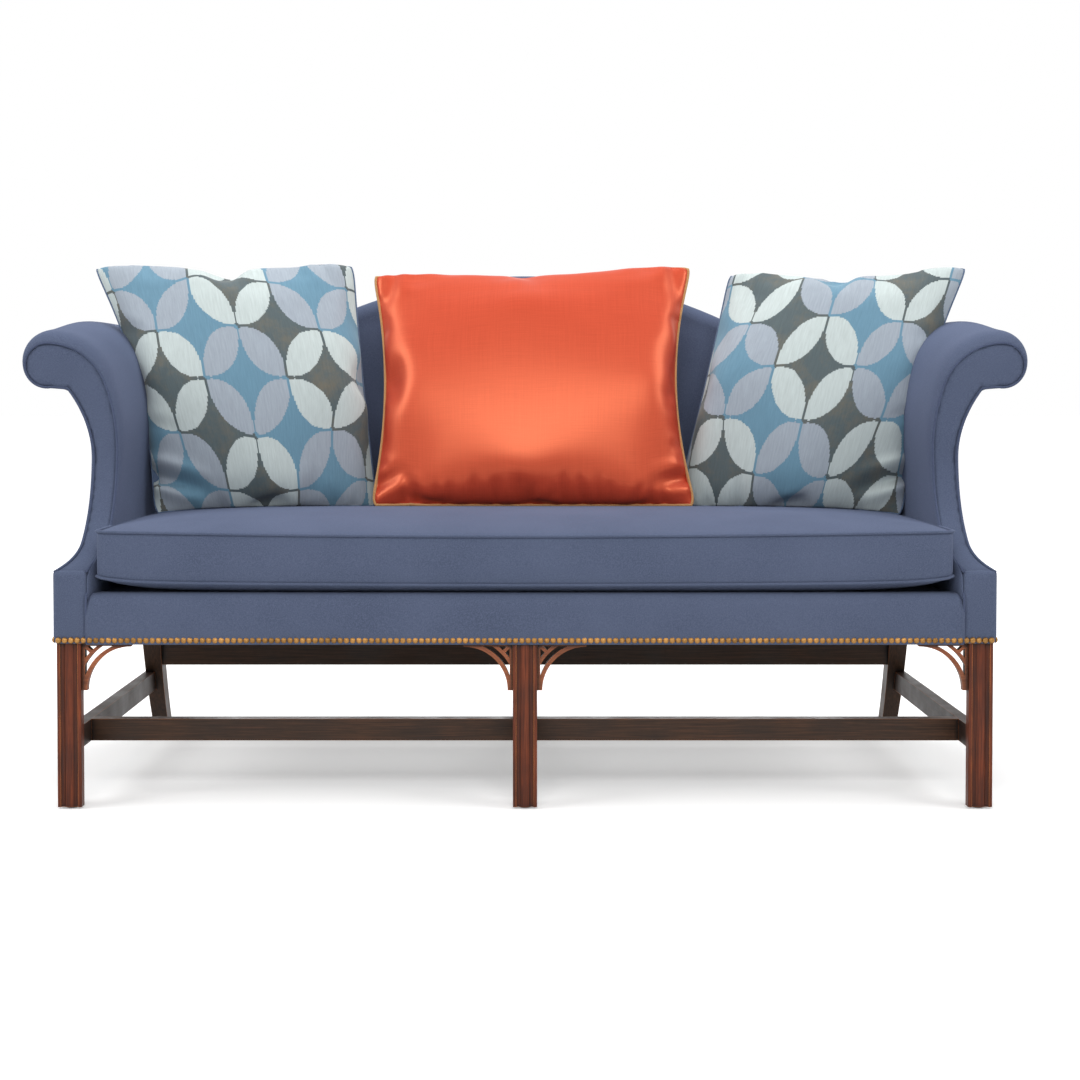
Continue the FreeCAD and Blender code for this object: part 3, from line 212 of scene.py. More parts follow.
def makeWool(name, settings):
    # milled wool: matt, with a soft bloom at grazing angles and a melange of paler fibres
    material, tree, shader = newMaterial(name, {
        "Roughness": 0.92, "Specular IOR Level": 0.25, "Sheen Weight": 0.35, "Sheen Roughness": 0.45,
        "Sheen Tint": linear(settings["fleck"])})
    where = addNode(tree, "TexCoord").outputs["Object"]
    cloud = addNode(tree, "TexNoise", {"Vector": where, "Scale": 1000 / settings["cloudMm"], "Detail": 3.0})
    # fibres are drawn coarse because the real ones are too fine to show
    fibre = addNode(tree, "TexNoise", {
        "Vector": where, "Scale": 1000 / settings["fibreMm"], "Detail": 4.0, "Roughness": 0.7})
    tone = addNode(tree, "ValToRGB", {"Fac": cloud}, ((0.3, settings["dark"]), (0.72, settings["mid"])))
    melange = addNode(tree, "ValToRGB", {"Fac": fibre}, ((0.4, "#000000"), (0.78, "#ffffff")))
    mixed = addNode(tree, "Mix", {"Factor": melange, "A": tone, "B": settings["light"]}, data_type="RGBA")
    dressShader(tree, shader, mixed.outputs["Result"], fibre, 0.3, 0.5)
    return material


woolCloth = makeWool("slateBlueMilledWool", wool)
# darker copy of the wool for piping and seams: painted shade along the seams
shadedWoolSeam = makeWool("slateBlueWoolPipingShaded", {**wool, "mid": "#434c64", "dark": "#394157", "light": "#4f5871"})
# darker copy of the wool for the deck under the seat cushion: painted shade
shadedWoolDeck = makeWool("slateBlueDeckClothShaded", {**wool, "mid": "#3d4358", "dark": "#33384a", "light": "#474d64"})

mahogany = {"mid": "#5d2a16", "light": "#854123", "dark": "#331609", "waxAndShade": "#150805", "worn": "#bf7440",
            "grainMm": 3.0, "runMm": 90, "wearMm": 60, "waxShadeMm": 10, "edgeMm": 2.4, "rub": 1.3}
# darker copy of the mahogany for the back legs and stretchers, which sit under the seat: painted shade
shadedRail = {**mahogany, "mid": "#38261a", "light": "#523423", "dark": "#21140d", "waxAndShade": "#0c0705",
            "worn": "#96592f", "rub": 1.2}
paleFret = {**mahogany, "mid": "#8a5035", "light": "#a96843", "dark": "#5e3624", "rub": 0.7}
sawnBeech = {**mahogany, "mid": "#a07a50", "light": "#b78f62", "dark": "#85623f", "waxAndShade": "#6d4f32",
             "worn": "#c9a679"}


def makeTimber(name, grainAxis, settings):
    # waxed old timber: fine grain, dark wax and painted shade in the hollows, and worn, paler edges
    material, tree, shader = newMaterial(name, {
        "Roughness": 0.5, "Specular IOR Level": 0.22, "Coat Weight": 0.04, "Coat Roughness": 0.3})
    where = addNode(tree, "TexCoord").outputs["Object"]
    stretch = [1000 / settings["grainMm"]] * 3
    stretch[grainAxis] = 1000 / settings["runMm"]
    lengthwise = addNode(tree, "Mapping", {"Vector": where, "Scale": stretch})
    grain = addNode(tree, "TexNoise", {
        "Vector": lengthwise, "Scale": 1.0, "Detail": 6.0, "Roughness": 0.62, "Distortion": 0.35})
    wear = addNode(tree, "TexNoise", {"Vector": where, "Scale": 1000 / settings["wearMm"], "Detail": 4.0})
    tone = addNode(tree, "ValToRGB", {"Fac": grain}, (
        (0.22, settings["dark"]), (0.8, settings["light"]), (0.5, settings["mid"])))
    shade = addNode(tree, "MapRange", {
        "Value": wear, "From Min": 0.35, "From Max": 0.7, "To Min": 0.7, "To Max": 1.12})
    toned = addNode(tree, "Mix", {
        "Factor": 1.0, "A": tone, "B": shade}, data_type="RGBA", blend_type="MULTIPLY")
    # ambient occlusion darkens hollows and the gaps between parts: dark wax, and painted shade where shade
    # falls
    hollow = addNode(tree, "AmbientOcclusion", {"Distance": settings["waxShadeMm"] / 1000}, samples=8)
    waxAndShadeShare = addNode(tree, "MapRange", {"Value": hollow.outputs["AO"], "From Min": 0.62, "From Max": 0.97})
    darkWaxAndShade = addNode(tree, "Mix", {"Factor": waxAndShadeShare, "A": settings["waxAndShade"], "B": toned}, data_type="RGBA")
    rounded = addNode(tree, "Bevel", {"Radius": settings["edgeMm"] / 1000}, samples=6)
    straight = addNode(tree, "NewGeometry")
    edge = addNode(tree, "VectorMath", {
        0: rounded.outputs["Normal"], 1: straight.outputs["Normal"]}, operation="DOT_PRODUCT")
    rubbed = addNode(tree, "MapRange", {
        "Value": edge, "From Min": 0.99, "From Max": 0.8, "To Max": settings["rub"]})
    patchy = addNode(tree, "Math", {0: rubbed, 1: wear}, operation="MULTIPLY")
    finished = addNode(tree, "Mix", {"Factor": patchy, "A": darkWaxAndShade, "B": settings["worn"]}, data_type="RGBA")
    polish = addNode(tree, "MapRange", {
        "Value": wear, "From Min": 0.3, "From Max": 0.7, "To Min": 0.38, "To Max": 0.58})
    tree.links.new(polish.outputs["Result"], shader.inputs["Roughness"])
    dressShader(tree, shader, finished.outputs["Result"], grain, 0.2, 0.3)
    return material


legWood = makeTimber("waxedMahoganyUpright", 2, mahogany)
backLegWood = makeTimber("shadedMahoganyUpright", 2, shadedRail)
fretWood = makeTimber("waxedMahoganyFret", 0, paleFret)
railWood = makeTimber("shadedMahoganyAcross", 0, shadedRail)
# darker still for the stretchers running front to back, deepest under the seat: painted shade
sideWood = makeTimber("shadedMahoganyFrontToBack", 1, {**shadedRail, "mid": "#33251f", "light": "#452f25"})
beech = makeTimber("sawnBeechFrame", 0, sawnBeech)

brass = {"dark": "#7d5d35", "light": "#a67c48", "tarnishMm": 30}


def makeBrass(name, settings):
    # dipped antique brass: warm worn domes with patches of brown tarnish
    material, tree, shader = newMaterial(name, {"Metallic": 1.0, "Roughness": 0.45})
    where = addNode(tree, "TexCoord").outputs["Object"]
    tarnish = addNode(tree, "TexNoise", {
        "Vector": where, "Scale": 1000 / settings["tarnishMm"], "Detail": 3.0})
    tone = addNode(tree, "ValToRGB", {"Fac": tarnish}, ((0.32, settings["dark"]), (0.66, settings["light"])))
    tree.links.new(tone.outputs["Color"], shader.inputs["Base Color"])
    rough = addNode(tree, "MapRange", {"Value": tarnish, "To Min": 0.55, "To Max": 0.44})
    tree.links.new(rough.outputs["Result"], shader.inputs["Roughness"])
    return material


antiqueBrass = makeBrass("antiqueBrass", brass)

silk = {"dark": "#b03826", "light": "#c44731", "sheen": "#ffc48e", "weftMm": (70, 1.8), "warpMm": (2.2, 110)}


def makeSilk(name, settings):
    # slubbed silk satin: bright sheen across the threads and fine slub lines along them
    material, tree, shader = newMaterial(name, {
        "Metallic": 0.14, "Roughness": 0.34, "Specular IOR Level": 1.0, "Anisotropic": 0.3,
        "Specular Tint": linear(settings["sheen"])})
    thread = addNode(tree, "UVMap", uv_map="weave").outputs["UV"]
    weftRun = addNode(tree, "Mapping", {"Vector": thread, "Scale": perMm(*settings["weftMm"])})
    warpRun = addNode(tree, "Mapping", {"Vector": thread, "Scale": perMm(*settings["warpMm"])})
    weft = addNode(tree, "TexNoise", {"Vector": weftRun, "Scale": 1.0, "Detail": 5.0, "Roughness": 0.6})
    warp = addNode(tree, "TexNoise", {"Vector": warpRun, "Scale": 1.0, "Detail": 4.0, "Roughness": 0.65})
    slub = addNode(tree, "Mix", {"Factor": 0.5, "A": weft, "B": warp})
    tone = addNode(tree, "ValToRGB", {"Fac": slub}, ((0.3, settings["dark"]), (0.7, settings["light"])))
    dressShader(tree, shader, tone.outputs["Color"], slub, 0.12, 0.5)
    return material


orangeSilk = makeSilk("orangeSlubSilk", silk)


def makePlainWeave(name, dark, light, threadMm):
    # plain woven cotton: two close tones crossing at thread size
    material, tree, shader = newMaterial(name, {
        "Roughness": 0.85, "Specular IOR Level": 0.3, "Sheen Weight": 0.2})
    where = addNode(tree, "TexCoord").outputs["Object"]
    weave = addNode(tree, "TexNoise", {
        "Vector": where, "Scale": 1000 / threadMm, "Detail": 4.0, "Roughness": 0.75})
    tone = addNode(tree, "ValToRGB", {"Fac": weave}, ((0.35, dark), (0.65, light)))
    dressShader(tree, shader, tone.outputs["Color"], weave, 0.4, 0.5)
    return material


slateBack = makePlainWeave("slateCottonBacking", "#4a5a73", "#5b6c87", 2.0)
tanCord = makePlainWeave("tanCottonPiping", "#9c7046", "#c0925f", 1.6)
dustCloth = makePlainWeave("blackDustCotton", "#141416", "#222226", 2.0)
jute = makePlainWeave("juteWebbing", "#8a6d45", "#b2935f", 3.0)
darkNylon = makePlainWeave("mouldedNylonGlide", "#15120f", "#241e19", 3.0)

petals = {"acrossMm": 152, "upMm": 193, "stepMm": 2.4, "half": 0.238, "reach": 0.465,
          "streakMm": (3.2, 34), "ribMm": (2.4, 9), "mottleMm": 90,
          "pale": "#b6c0bf", "lilac": "#969fa9", "blue": "#63879b", "charcoal": "#515c5f", "fleck": "#67645a"}


def makePetalWeave(name, shift, middleMm, settings):
    # flat tapestry weave: overlapping circles in stepped outlines, with streaky dye in each yarn
    material, tree, shader = newMaterial(name, {
        "Roughness": 0.88, "Specular IOR Level": 0.25, "Sheen Weight": 0.2})
    cloth = addNode(tree, "UVMap", uv_map="weave").outputs["UV"]

    # outlines step from thread to thread
    centred = addNode(tree, "VectorMath", {0: cloth, 1: (*middleMm, 0)}, operation="SUBTRACT")
    stepped = addNode(tree, "VectorMath", {0: centred, 1: (settings["stepMm"],) * 3}, operation="SNAP")
    split = addNode(tree, "SeparateXYZ", {0: stepped})
    # each petal on an edge of a lozenge is bounded by two arcs; arcAt is how far off an arc's centre lies
    petalR = (settings["reach"] ** 2 + settings["half"] ** 2) / (2 * settings["half"])
    arcAt = 0.5 + petalR - settings["half"]
    values = {"x": split.outputs["X"], "y": split.outputs["Y"]}
    for label, operation, a, b in (
            ("across", "DIVIDE", "x", settings["acrossMm"]), ("up", "DIVIDE", "y", settings["upMm"]),
            ("sum", "ADD", "up", "across"), ("p", "ADD", "sum", shift + 0.5),
            ("difference", "SUBTRACT", "up", "across"), ("q", "ADD", "difference", 0.5),
            ("i", "FLOOR", "p", 0.0), ("j", "FLOOR", "q", 0.0),
            ("partP", "FRACT", "p", 0.0), ("fromP", "SUBTRACT", "partP", 0.5),
            ("partQ", "FRACT", "q", 0.0), ("fromQ", "SUBTRACT", "partQ", 0.5),
            ("awayP", "ABSOLUTE", "fromP", 0.0), ("awayQ", "ABSOLUTE", "fromQ", 0.0),
            ("gapP", "SUBTRACT", arcAt, "awayP"), ("gapQ", "SUBTRACT", arcAt, "awayQ"),
            ("gapP2", "MULTIPLY", "gapP", "gapP"), ("gapQ2", "MULTIPLY", "gapQ", "gapQ"),
            ("awayP2", "MULTIPLY", "awayP", "awayP"), ("awayQ2", "MULTIPLY", "awayQ", "awayQ"),
            ("farP2", "ADD", "gapP2", "awayQ2"), ("farQ2", "ADD", "gapQ2", "awayP2"),
            ("petalP", "LESS_THAN", "farP2", petalR ** 2), ("petalQ", "LESS_THAN", "farQ2", petalR ** 2),
            ("isPetal", "MAXIMUM", "petalP", "petalQ"), ("both", "ADD", "i", "j"),
            ("between", "FLOORED_MODULO", "both", 2.0), ("shifted", "MULTIPLY", "between", "petalP"),
            ("cell", "ADD", "i", "shifted"), ("owner", "FLOORED_MODULO", "cell", 2.0),
            ("star", "FLOORED_MODULO", "i", 2.0)):
        sockets = {0: values.get(a, a), 1: values.get(b, b)}
        values[label] = addNode(tree, "Math", sockets, operation=operation).outputs[0]
    streakRun = addNode(tree, "Mapping", {"Vector": cloth, "Scale": perMm(*settings["streakMm"])})
    streak = addNode(tree, "TexNoise", {"Vector": streakRun, "Scale": 1.0, "Detail": 4.0, "Roughness": 0.65})
    petalTone = addNode(tree, "Mix", {
        "Factor": values["owner"], "A": settings["lilac"], "B": settings["pale"]}, data_type="RGBA")
    brown = addNode(tree, "TexNoise", {
        "Vector": cloth, "Scale": 1 / settings["mottleMm"], "Detail": 6.0, "Roughness": 0.75})
    mottle = addNode(tree, "MapRange", {"Value": brown, "From Min": 0.46, "From Max": 0.66})
    dark = addNode(tree, "Mix", {
        "Factor": mottle, "A": settings["charcoal"], "B": settings["fleck"]}, data_type="RGBA")
    starTone = addNode(tree, "Mix", {
        "Factor": values["star"], "A": settings["blue"], "B": dark}, data_type="RGBA")
    yarn = addNode(tree, "Mix", {
        "Factor": values["isPetal"], "A": starTone, "B": petalTone}, data_type="RGBA")
    fleck = addNode(tree, "MapRange", {
        "Value": streak, "From Min": 0.3, "From Max": 0.7, "To Min": 0.9, "To Max": 1.08})
    dyed = addNode(tree, "Mix", {
        "Factor": 1.0, "A": yarn, "B": fleck}, data_type="RGBA", blend_type="MULTIPLY")
    ribRun = addNode(tree, "Mapping", {"Vector": cloth, "Scale": perMm(*settings["ribMm"])})
    rib = addNode(tree, "TexNoise", {"Vector": ribRun, "Scale": 1.0, "Detail": 3.0})
    dressShader(tree, shader, dyed.outputs["Result"], rib, 0.35, 0.8)
    return material


petalLeft = makePetalWeave("petalTapestryLeft", 0.0, (-3, -2), petals)
petalRight = makePetalWeave("petalTapestryRight", 1.0, (68, -73), petals)
print("materials made")

# woodwork and hidden frame keep their solids and get their finishes
finishes = {
    legWood: ("front_leg",), backLegWood: ("back_leg",), fretWood: ("bracket",),
    railWood: ("front_stretcher", "rear_stretcher"),
    sideWood: ("side_stretcher", "centre_stretcher"), jute: ("seat_webbing", "back_webbing", "seat_hessian"),
    darkNylon: ("foot_glides",),
    beech: ("arm_rail", "arm_stump", "back_rail", "back_uprights", "corner_blocks", "crest_rail", "front_rail",
            "seat_braces", "side_rail", "stay_rail"),
}
for finish, starts in finishes.items():
    for nodeName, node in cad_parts.items():
        if nodeName.startswith(starts):
            node.data.materials.clear()
            node.data.materials.append(finish)

# arms, in mm: the right one's outline, its climb to the back and its fullness
arm = {"inner": 744, "outer": 786, "skirt": 811.4, "scrollX": 871.3, "scrollZ": 771.5, "scrollR": 40.5,
       "shoulderR": 113, "waistR": 350, "waistTurn": 20, "hollowR": 222, "hollowZ": 592, "coveTop": 455,
       "blockTop": 412, "blockInner": 757, "spread": 470, "setback": 170, "sweepR": 220, "sweepTop": 626,
       "firstRise": 17, "firstMm": 12, "rise": 46, "riseEnd": 480, "liftTop": 618, "railBottom": 288.5,
       "deck": 360, "footSteps": 16, "swell": 5.5, "swellMm": 7, "swellLow": 505, "swellHigh": 640,
       "outerHigh": 620, "drawnMm": 14, "flareMm": 30, "waver": 1.1, "waverMm": 130, "calmMm": 25,
       "ways": (0, 0.003, 0.008, 0.016, 0.03, 0.05, 0.08, 0.12, 0.18, 0.25, 0.33, 0.42, 0.52, 0.62, 0.72, 0.82,
                0.91, 0.97, 1)}
facing = {"stepMm": 8, "clearMm": 4, "sink": 1.5, "puff": 3.2, "puffMm": 7, "pipeOut": 0.6, "pipeR": 0.0024}
back = {"foot": 585, "lowZ": 372, "rake": math.tan(math.radians(12)), "post": 38, "pad": 35, "crown": 12,
        "round": 34, "fall": 9, "height": 970, "low": 845, "humpR": 985, "dipR": 400, "wing": 836, "tuck": 14,
        "waver": 2, "waverMm": 170}


def raked(depth, z):
    return back["foot"] + (z - back["lowZ"]) * back["rake"] + depth


def faceDepth(z):
    # the facing sweeps forward to the legs' face at its foot
    drop = max(arm["sweepTop"] - max(z, arm["blockTop"]), 0)
    return arm["setback"] - arm["sweepR"] + math.sqrt(arm["sweepR"] ** 2 - drop ** 2)


def arcPoints(cx, cz, r, start, end, count):
    turns = np.radians(np.linspace(start, end, count))
    return [(cx + r * math.cos(t), cz + r * math.sin(t)) for t in turns]


def linePoints(a, b, count):
    shares = [k / (count - 1) for k in range(count)]
    return [(a[0] + (b[0] - a[0]) * share, a[1] + (b[1] - a[1]) * share) for share in shares]


def armOutline(foot):
    # inner face, shoulder, scroll, notch, hollow outer side and the spread over the rail
    a = arm
    flareZ = a["scrollZ"] + a["scrollR"] - a["shoulderR"] * (1 - math.sin(math.radians(a["waistTurn"]))) \
        - a["waistR"] * math.sin(math.radians(a["waistTurn"]))
    shoulderZ = a["scrollZ"] + a["scrollR"] - a["shoulderR"]
    notchZ = a["scrollZ"] - a["scrollR"]
    notchTurn = math.degrees(math.asin((notchZ - a["hollowZ"]) / a["hollowR"]))
    spread, fall = a["skirt"] - a["outer"], a["coveTop"] - a["blockTop"]
    coveR = (spread ** 2 + fall ** 2) / (2 * spread)
    coveTurn = math.degrees(math.asin(fall / coveR))
    points = foot(flareZ)
    points += arcPoints(a["inner"] + a["waistR"], flareZ, a["waistR"], 180, 180 - a["waistTurn"], 8)[1:]
    points += arcPoints(a["scrollX"], shoulderZ, a["shoulderR"], 180 - a["waistTurn"], 90, 14)[1:]
    points += arcPoints(a["scrollX"], a["scrollZ"], a["scrollR"], 90, -100, 26)[1:]
    points += arcPoints(a["outer"] + a["hollowR"], a["hollowZ"], a["hollowR"], 180 - notchTurn + 0.6, 180, 22)
    points += linePoints((a["outer"], a["hollowZ"] - 8), (a["outer"], a["coveTop"]), 8)
    points += arcPoints(a["outer"] + coveR, a["coveTop"], coveR, 180, 180 + coveTurn, 8)[1:]
    return points


def coverFoot(flareZ):
    return linePoints((arm["inner"], arm["deck"]), (arm["inner"], flareZ), arm["footSteps"])


def facingFoot(flareZ):
    return linePoints((arm["blockInner"], arm["blockTop"]), (arm["inner"], arm["spread"]), 5)[:-1] \
        + linePoints((arm["inner"], arm["spread"]), (arm["inner"], flareZ), 9)


def armRise(depth):
    past = max(depth - arm["setback"], 0)
    share = float(smoothStep(depth, arm["setback"], arm["riseEnd"]))
    first = arm["firstRise"] * (1 - math.exp(-past / arm["firstMm"]))
    return first + (arm["rise"] - arm["firstRise"]) * share


def armCover():
    # cloth over the whole arm, from the piped front edge to the outside back
    outline = armOutline(coverFoot)
    outline += linePoints((arm["skirt"], arm["blockTop"] - 6), (arm["skirt"], arm["railBottom"]), 8)
    xs, zs = np.array(outline).T
    tx, tz = np.gradient(xs), np.gradient(zs)
    size = np.hypot(tx, tz)
    nx, nz = -tz / size, tx / size
    inner = np.arange(len(xs)) <= int(np.argmax(zs))
    liftShare = np.where(inner, smoothStep(zs, arm["deck"], arm["liftTop"]),
                         smoothStep(zs, arm["coveTop"], arm["hollowZ"]))
    swellShare = np.where(inner, smoothStep(zs, arm["swellLow"], arm["swellHigh"]),
                          smoothStep(zs, arm["blockTop"], arm["outerHigh"]))
    flare = arm["blockInner"] - arm["inner"]
    rows = []
    for way in arm["ways"]:
        row = []
        for k, (x, z) in enumerate(outline):
            start = faceDepth(z)
            end = raked(back["post"], z + arm["rise"] * liftShare[k])
            depth = start + (end - start) * way
            behind = depth - start
            drawnIn = 1 - math.exp((depth - end) / arm["drawnMm"])
            swell = arm["swell"] * (1 - math.exp(-behind / arm["swellMm"])) * swellShare[k] * drawnIn
            narrow = max(arm["spread"] - z, 0) * flare / (arm["spread"] - arm["blockTop"])
            narrow = min(narrow, flare) * math.exp(-behind / arm["flareMm"]) if k < arm["footSteps"] else 0
            lift = armRise(depth) * liftShare[k]
            spot = place(x + narrow + nx[k] * swell, depth, z + nz[k] * swell + lift)
            waver = arm["waver"] * ripple(spot, arm["waverMm"], 3) * swellShare[k] * drawnIn
            waver *= (1 - math.exp(-behind / arm["calmMm"])) / 1000
            row.append((spot[0] + nx[k] * waver, spot[1], spot[2] + nz[k] * waver))
        rows.append(row)
    return gridPiece("armCoverRight", rows, woolCloth, flip=True)


def filledPanel(name, outline, grid, clear, spotAt, toward):
    # fills an outline with an even mesh; spotAt places a point from x, z and its distance from the rim
    rim = np.array(outline)
    loop = [Vector(p) for p in outline]

    def rimGap(x, z):
        return float(np.min(np.hypot(rim[:, 0] - x, rim[:, 1] - z)))

    inside = [Vector((x, z)) for x in grid[0] for z in grid[1] if rimGap(x, z) > clear]
    edges = [(k, (k + 1) % len(loop)) for k in range(len(loop))]
    verts, _, faces, *_ = delaunay_2d_cdt(loop + inside, edges, [], 1, 1e-4)
    piece = makePiece(name, [spotAt(v.x, v.y, rimGap(v.x, v.y)) for v in verts], faces, woolCloth)
    if toward * sum(p.normal.y for p in piece.data.polygons) < 0:
        piece.data.flip_normals()
    return piece


def facingPanel():
    # flat front of the arm, barely padded
    outline = armOutline(facingFoot)
    xs, zs = zip(*outline)

    def spotAt(x, z, gap):
        puff = facing["puff"] * (1 - math.exp(-gap / facing["puffMm"]))
        return place(x, faceDepth(z) + facing["sink"] - puff, z)

    grid = [np.arange(min(run), max(run), facing["stepMm"]) for run in (xs, zs)]
    return filledPanel("armFacingRight", outline, grid, facing["clearMm"], spotAt, -1)


def facingPiping():
    path = [place(x, faceDepth(z) - facing["pipeOut"], z) for x, z in armOutline(facingFoot)]
    return tubePiece("armPipingRight", path, facing["pipeR"], shadedWoolSeam)


for side in ("right", "left"):
    pieces = []
    for make in (armCover, facingPanel, facingPiping):
        piece = make()
        if side == "left":
            twin = mirrorPiece(piece, piece.name.split("Right")[0] + "Left")
            bpy.data.objects.remove(piece)
            piece = twin
        pieces.append(piece)
    cover, panel, piping = pieces
    addModifier(cover, "SOLIDIFY", thickness=0.003, offset=-1)
    smoothOnce(cover)
    finishPiece(cover, "frame", "blue_wool", f"inside_arm_{side}", f"outside_arm_{side}", fill=0.8)
    addModifier(panel, "SOLIDIFY", thickness=0.002, offset=-1)
    finishPiece(panel, "frame", "blue_wool", f"arm_facing_{side}", fill=0.9)
    finishPiece(piping, "frame", "blue_wool", f"arm_welt_{side}")
print("arms made")

border = {"half": 757, "bottom": 288, "top": 372, "out": 3, "bulge": 2.2, "cornerR": 11, "roundR": 15,
          "depth": 60, "waver": 0.7, "waverMm": 120}


def frontBorder():
    # padded strip over the front rail, rolled back over the edge of the seat
    bottom, roundR = border["bottom"], border["roundR"]
    rows = []
    for x in np.linspace(-border["half"], border["half"], 160):
        edge = max(abs(x) - border["half"] + border["cornerR"], 0)
        top = border["top"] - (border["cornerR"] - math.sqrt(max(border["cornerR"] ** 2 - edge ** 2, 0)))
        profile = [(6, bottom + 0.2), (-1.5, bottom), (-border["out"], bottom + 2)]
        for share in np.linspace(0.06, 1, 12):
            bulge = border["bulge"] * math.sin(math.pi * share * 0.9)
            profile.append((-border["out"] - bulge, bottom + (top - roundR - bottom) * share))
        for turn in np.radians(np.linspace(165, 90, 7)):
            profile.append((roundR * (1 + math.cos(turn)) - border["out"], top - roundR * (1 - math.sin(turn))))
        profile += [(30, top - 0.5), (border["depth"], top - 2)]
        row = []
        for depth, z in profile:
            spot = place(x, depth, z)
            loose = depth < 10 and z > bottom + 8
            wave = border["waver"] * ripple((spot[0], 0, spot[2]), border["waverMm"], 7) if loose else 0
            row.append((spot[0], spot[1] + wave / 1000, spot[2] + wave / 2000))
        rows.append(row)
    return gridPiece("frontBorder", rows, woolCloth)


def softBox(name, low, high, edge, puff, cuts, material, seed):
    # box-shaped pad: rounded edges and slightly swollen faces
    low, high = Vector(low), Vector(high)
    work = bmesh.new()
    bmesh.ops.create_cube(work, size=2)
    bmesh.ops.subdivide_edges(work, edges=work.edges, cuts=cuts, use_grid_fill=True)
    centre, half = (low + high) / 2, (high - low) / 2
    for v in work.verts:
        a = v.co.copy()
        spot = Vector((centre[k] + half[k] * a[k] for k in range(3)))
        core = Vector((min(max(spot[k], low[k] + edge), high[k] - edge) for k in range(3)))
        out = spot - core
        if out.length > 1e-9:
            spot = core + out.normalized() * edge
        for k in range(3):
            if abs(a[k]) > 0.999:
                m, n = (k + 1) % 3, (k + 2) % 3
                full = puff * (1 + 0.3 * ripple(spot, 40, seed))
                spot[k] += a[k] * full * (1 - a[m] ** 2) * (1 - a[n] ** 2)
        v.co = spot
    return workPiece(name, work, material)


block = {"outer": 812.4, "front": -3.6, "depth": 62, "top": 413, "edge": 0.005, "puff": 0.0014, "cuts": 15,
         "seamIn": 0.5, "seamFront": -4.2, "seamTop": 366, "seamR": 0.0022}
deck = {"half": 742, "front": 14, "depth": 572, "low": 357, "high": 372, "edge": 0.006, "cuts": 11}

frontPad = frontBorder()
addModifier(frontPad, "SOLIDIFY", thickness=0.002, offset=-1)
finishPiece(frontPad, "frame", "blue_wool", "front_border", fill=0.7)
for side, sign in (("Right", 1), ("Left", -1)):
    ends = sorted((sign * arm["blockInner"], sign * block["outer"]))
    pad = softBox(f"cornerBlock{side}", place(ends[0], block["front"], border["bottom"]),
                  place(ends[1], block["depth"], block["top"]), block["edge"], block["puff"], block["cuts"],
                  woolCloth, 11 * sign)
    finishPiece(pad, "frame", "blue_wool", f"post_cover_{side.lower()}", fill=0.8)
    seamX = sign * (arm["blockInner"] - block["seamIn"])
    upright = np.linspace(border["bottom"] + 1, block["seamTop"], 24)
    seamPath = [place(seamX, block["seamFront"], z) for z in upright]
    seamPath += [place(seamX, 0.5 * k * k - border["out"], block["seamTop"] + 3 * k) for k in range(1, 5)]
    seam = tubePiece(f"cornerSeam{side}", seamPath, block["seamR"], shadedWoolSeam)
    finishPiece(seam, "frame", "blue_wool")
deckPad = softBox("seatDeck", place(-deck["half"], deck["front"], deck["low"]),
                  place(deck["half"], deck["depth"], deck["high"]), deck["edge"], 0.0, deck["cuts"],
                  shadedWoolDeck, 5)
finishPiece(deckPad, "frame", "blue_wool", "seat_platform", fill=0.7)
print("border and blocks made")

humpTurn = math.acos(1 - (back["height"] - back["low"]) / (back["humpR"] + back["dipR"]))
humpEnd = back["humpR"] * math.sin(humpTurn)
dipAt = humpEnd + back["dipR"] * math.sin(humpTurn)
rollTop = arm["scrollZ"] + arm["scrollR"] + arm["rise"]


def crestHeight(x):
    x = abs(x)
    if x < humpEnd:
        return back["height"] - back["humpR"] + math.sqrt(back["humpR"] ** 2 - x * x)
    if x < dipAt:
        return back["low"] + back["dipR"] - math.sqrt(back["dipR"] ** 2 - (dipAt - x) ** 2)
    return back["low"] + (rollTop - back["low"]) * ((x - dipAt) / (arm["scrollX"] - dipAt)) ** 2


def insideBack():
    # its ends are tucked into the arms, so it widens upwards with their inner faces
    rows = []
    outline = armOutline(coverFoot)
    peak = max(range(len(outline)), key=lambda k: outline[k][1])
    armX, armZ = np.array(outline[:peak + 1]).T
    armZ = armZ + arm["rise"] * smoothStep(armZ, arm["deck"], arm["liftTop"])
    for share in np.linspace(-1, 1, 120):
        top = crestHeight(share * back["wing"])
        turnZ = top - back["round"]
        profile = []
        for up in np.linspace(0, 1, 26):
            z = back["lowZ"] + (turnZ - back["lowZ"]) * up
            profile.append((raked(-back["pad"], z) - back["crown"] * 4 * up * (1 - up), z))
        bend = raked(-back["pad"], turnZ)
        for turn in np.radians(np.linspace(172, 90, 9)):
            profile.append((bend + back["round"] + back["round"] * math.cos(turn),
                            turnZ + back["round"] * math.sin(turn)))
        for over in (0.35, 0.7, 1):
            z = top - back["fall"] * over
            depth = bend + back["round"] + (raked(back["post"], z) - bend - back["round"]) * over
            profile.append((depth, z))
        row = []
        for depth, z in profile:
            half = min(float(np.interp(z, armZ, armX)) + back["tuck"], back["wing"])
            spot = place(share * half, depth, z)
            waver = back["waver"] / 1000 * ripple((spot[0], 0, spot[2]), back["waverMm"], 21)
            row.append((spot[0], spot[1] + waver, spot[2]))
        rows.append(row)
    return gridPiece("insideBack", rows, woolCloth)


backCloth = {"half": 860, "low": 300, "high": 965, "stepMm": 20, "clearMm": 9, "out": 1, "puff": 2.5,
             "puffMm": 30, "waver": 0.6, "waverMm": 200, "pipeOut": 0.5, "pipeR": 0.0026}


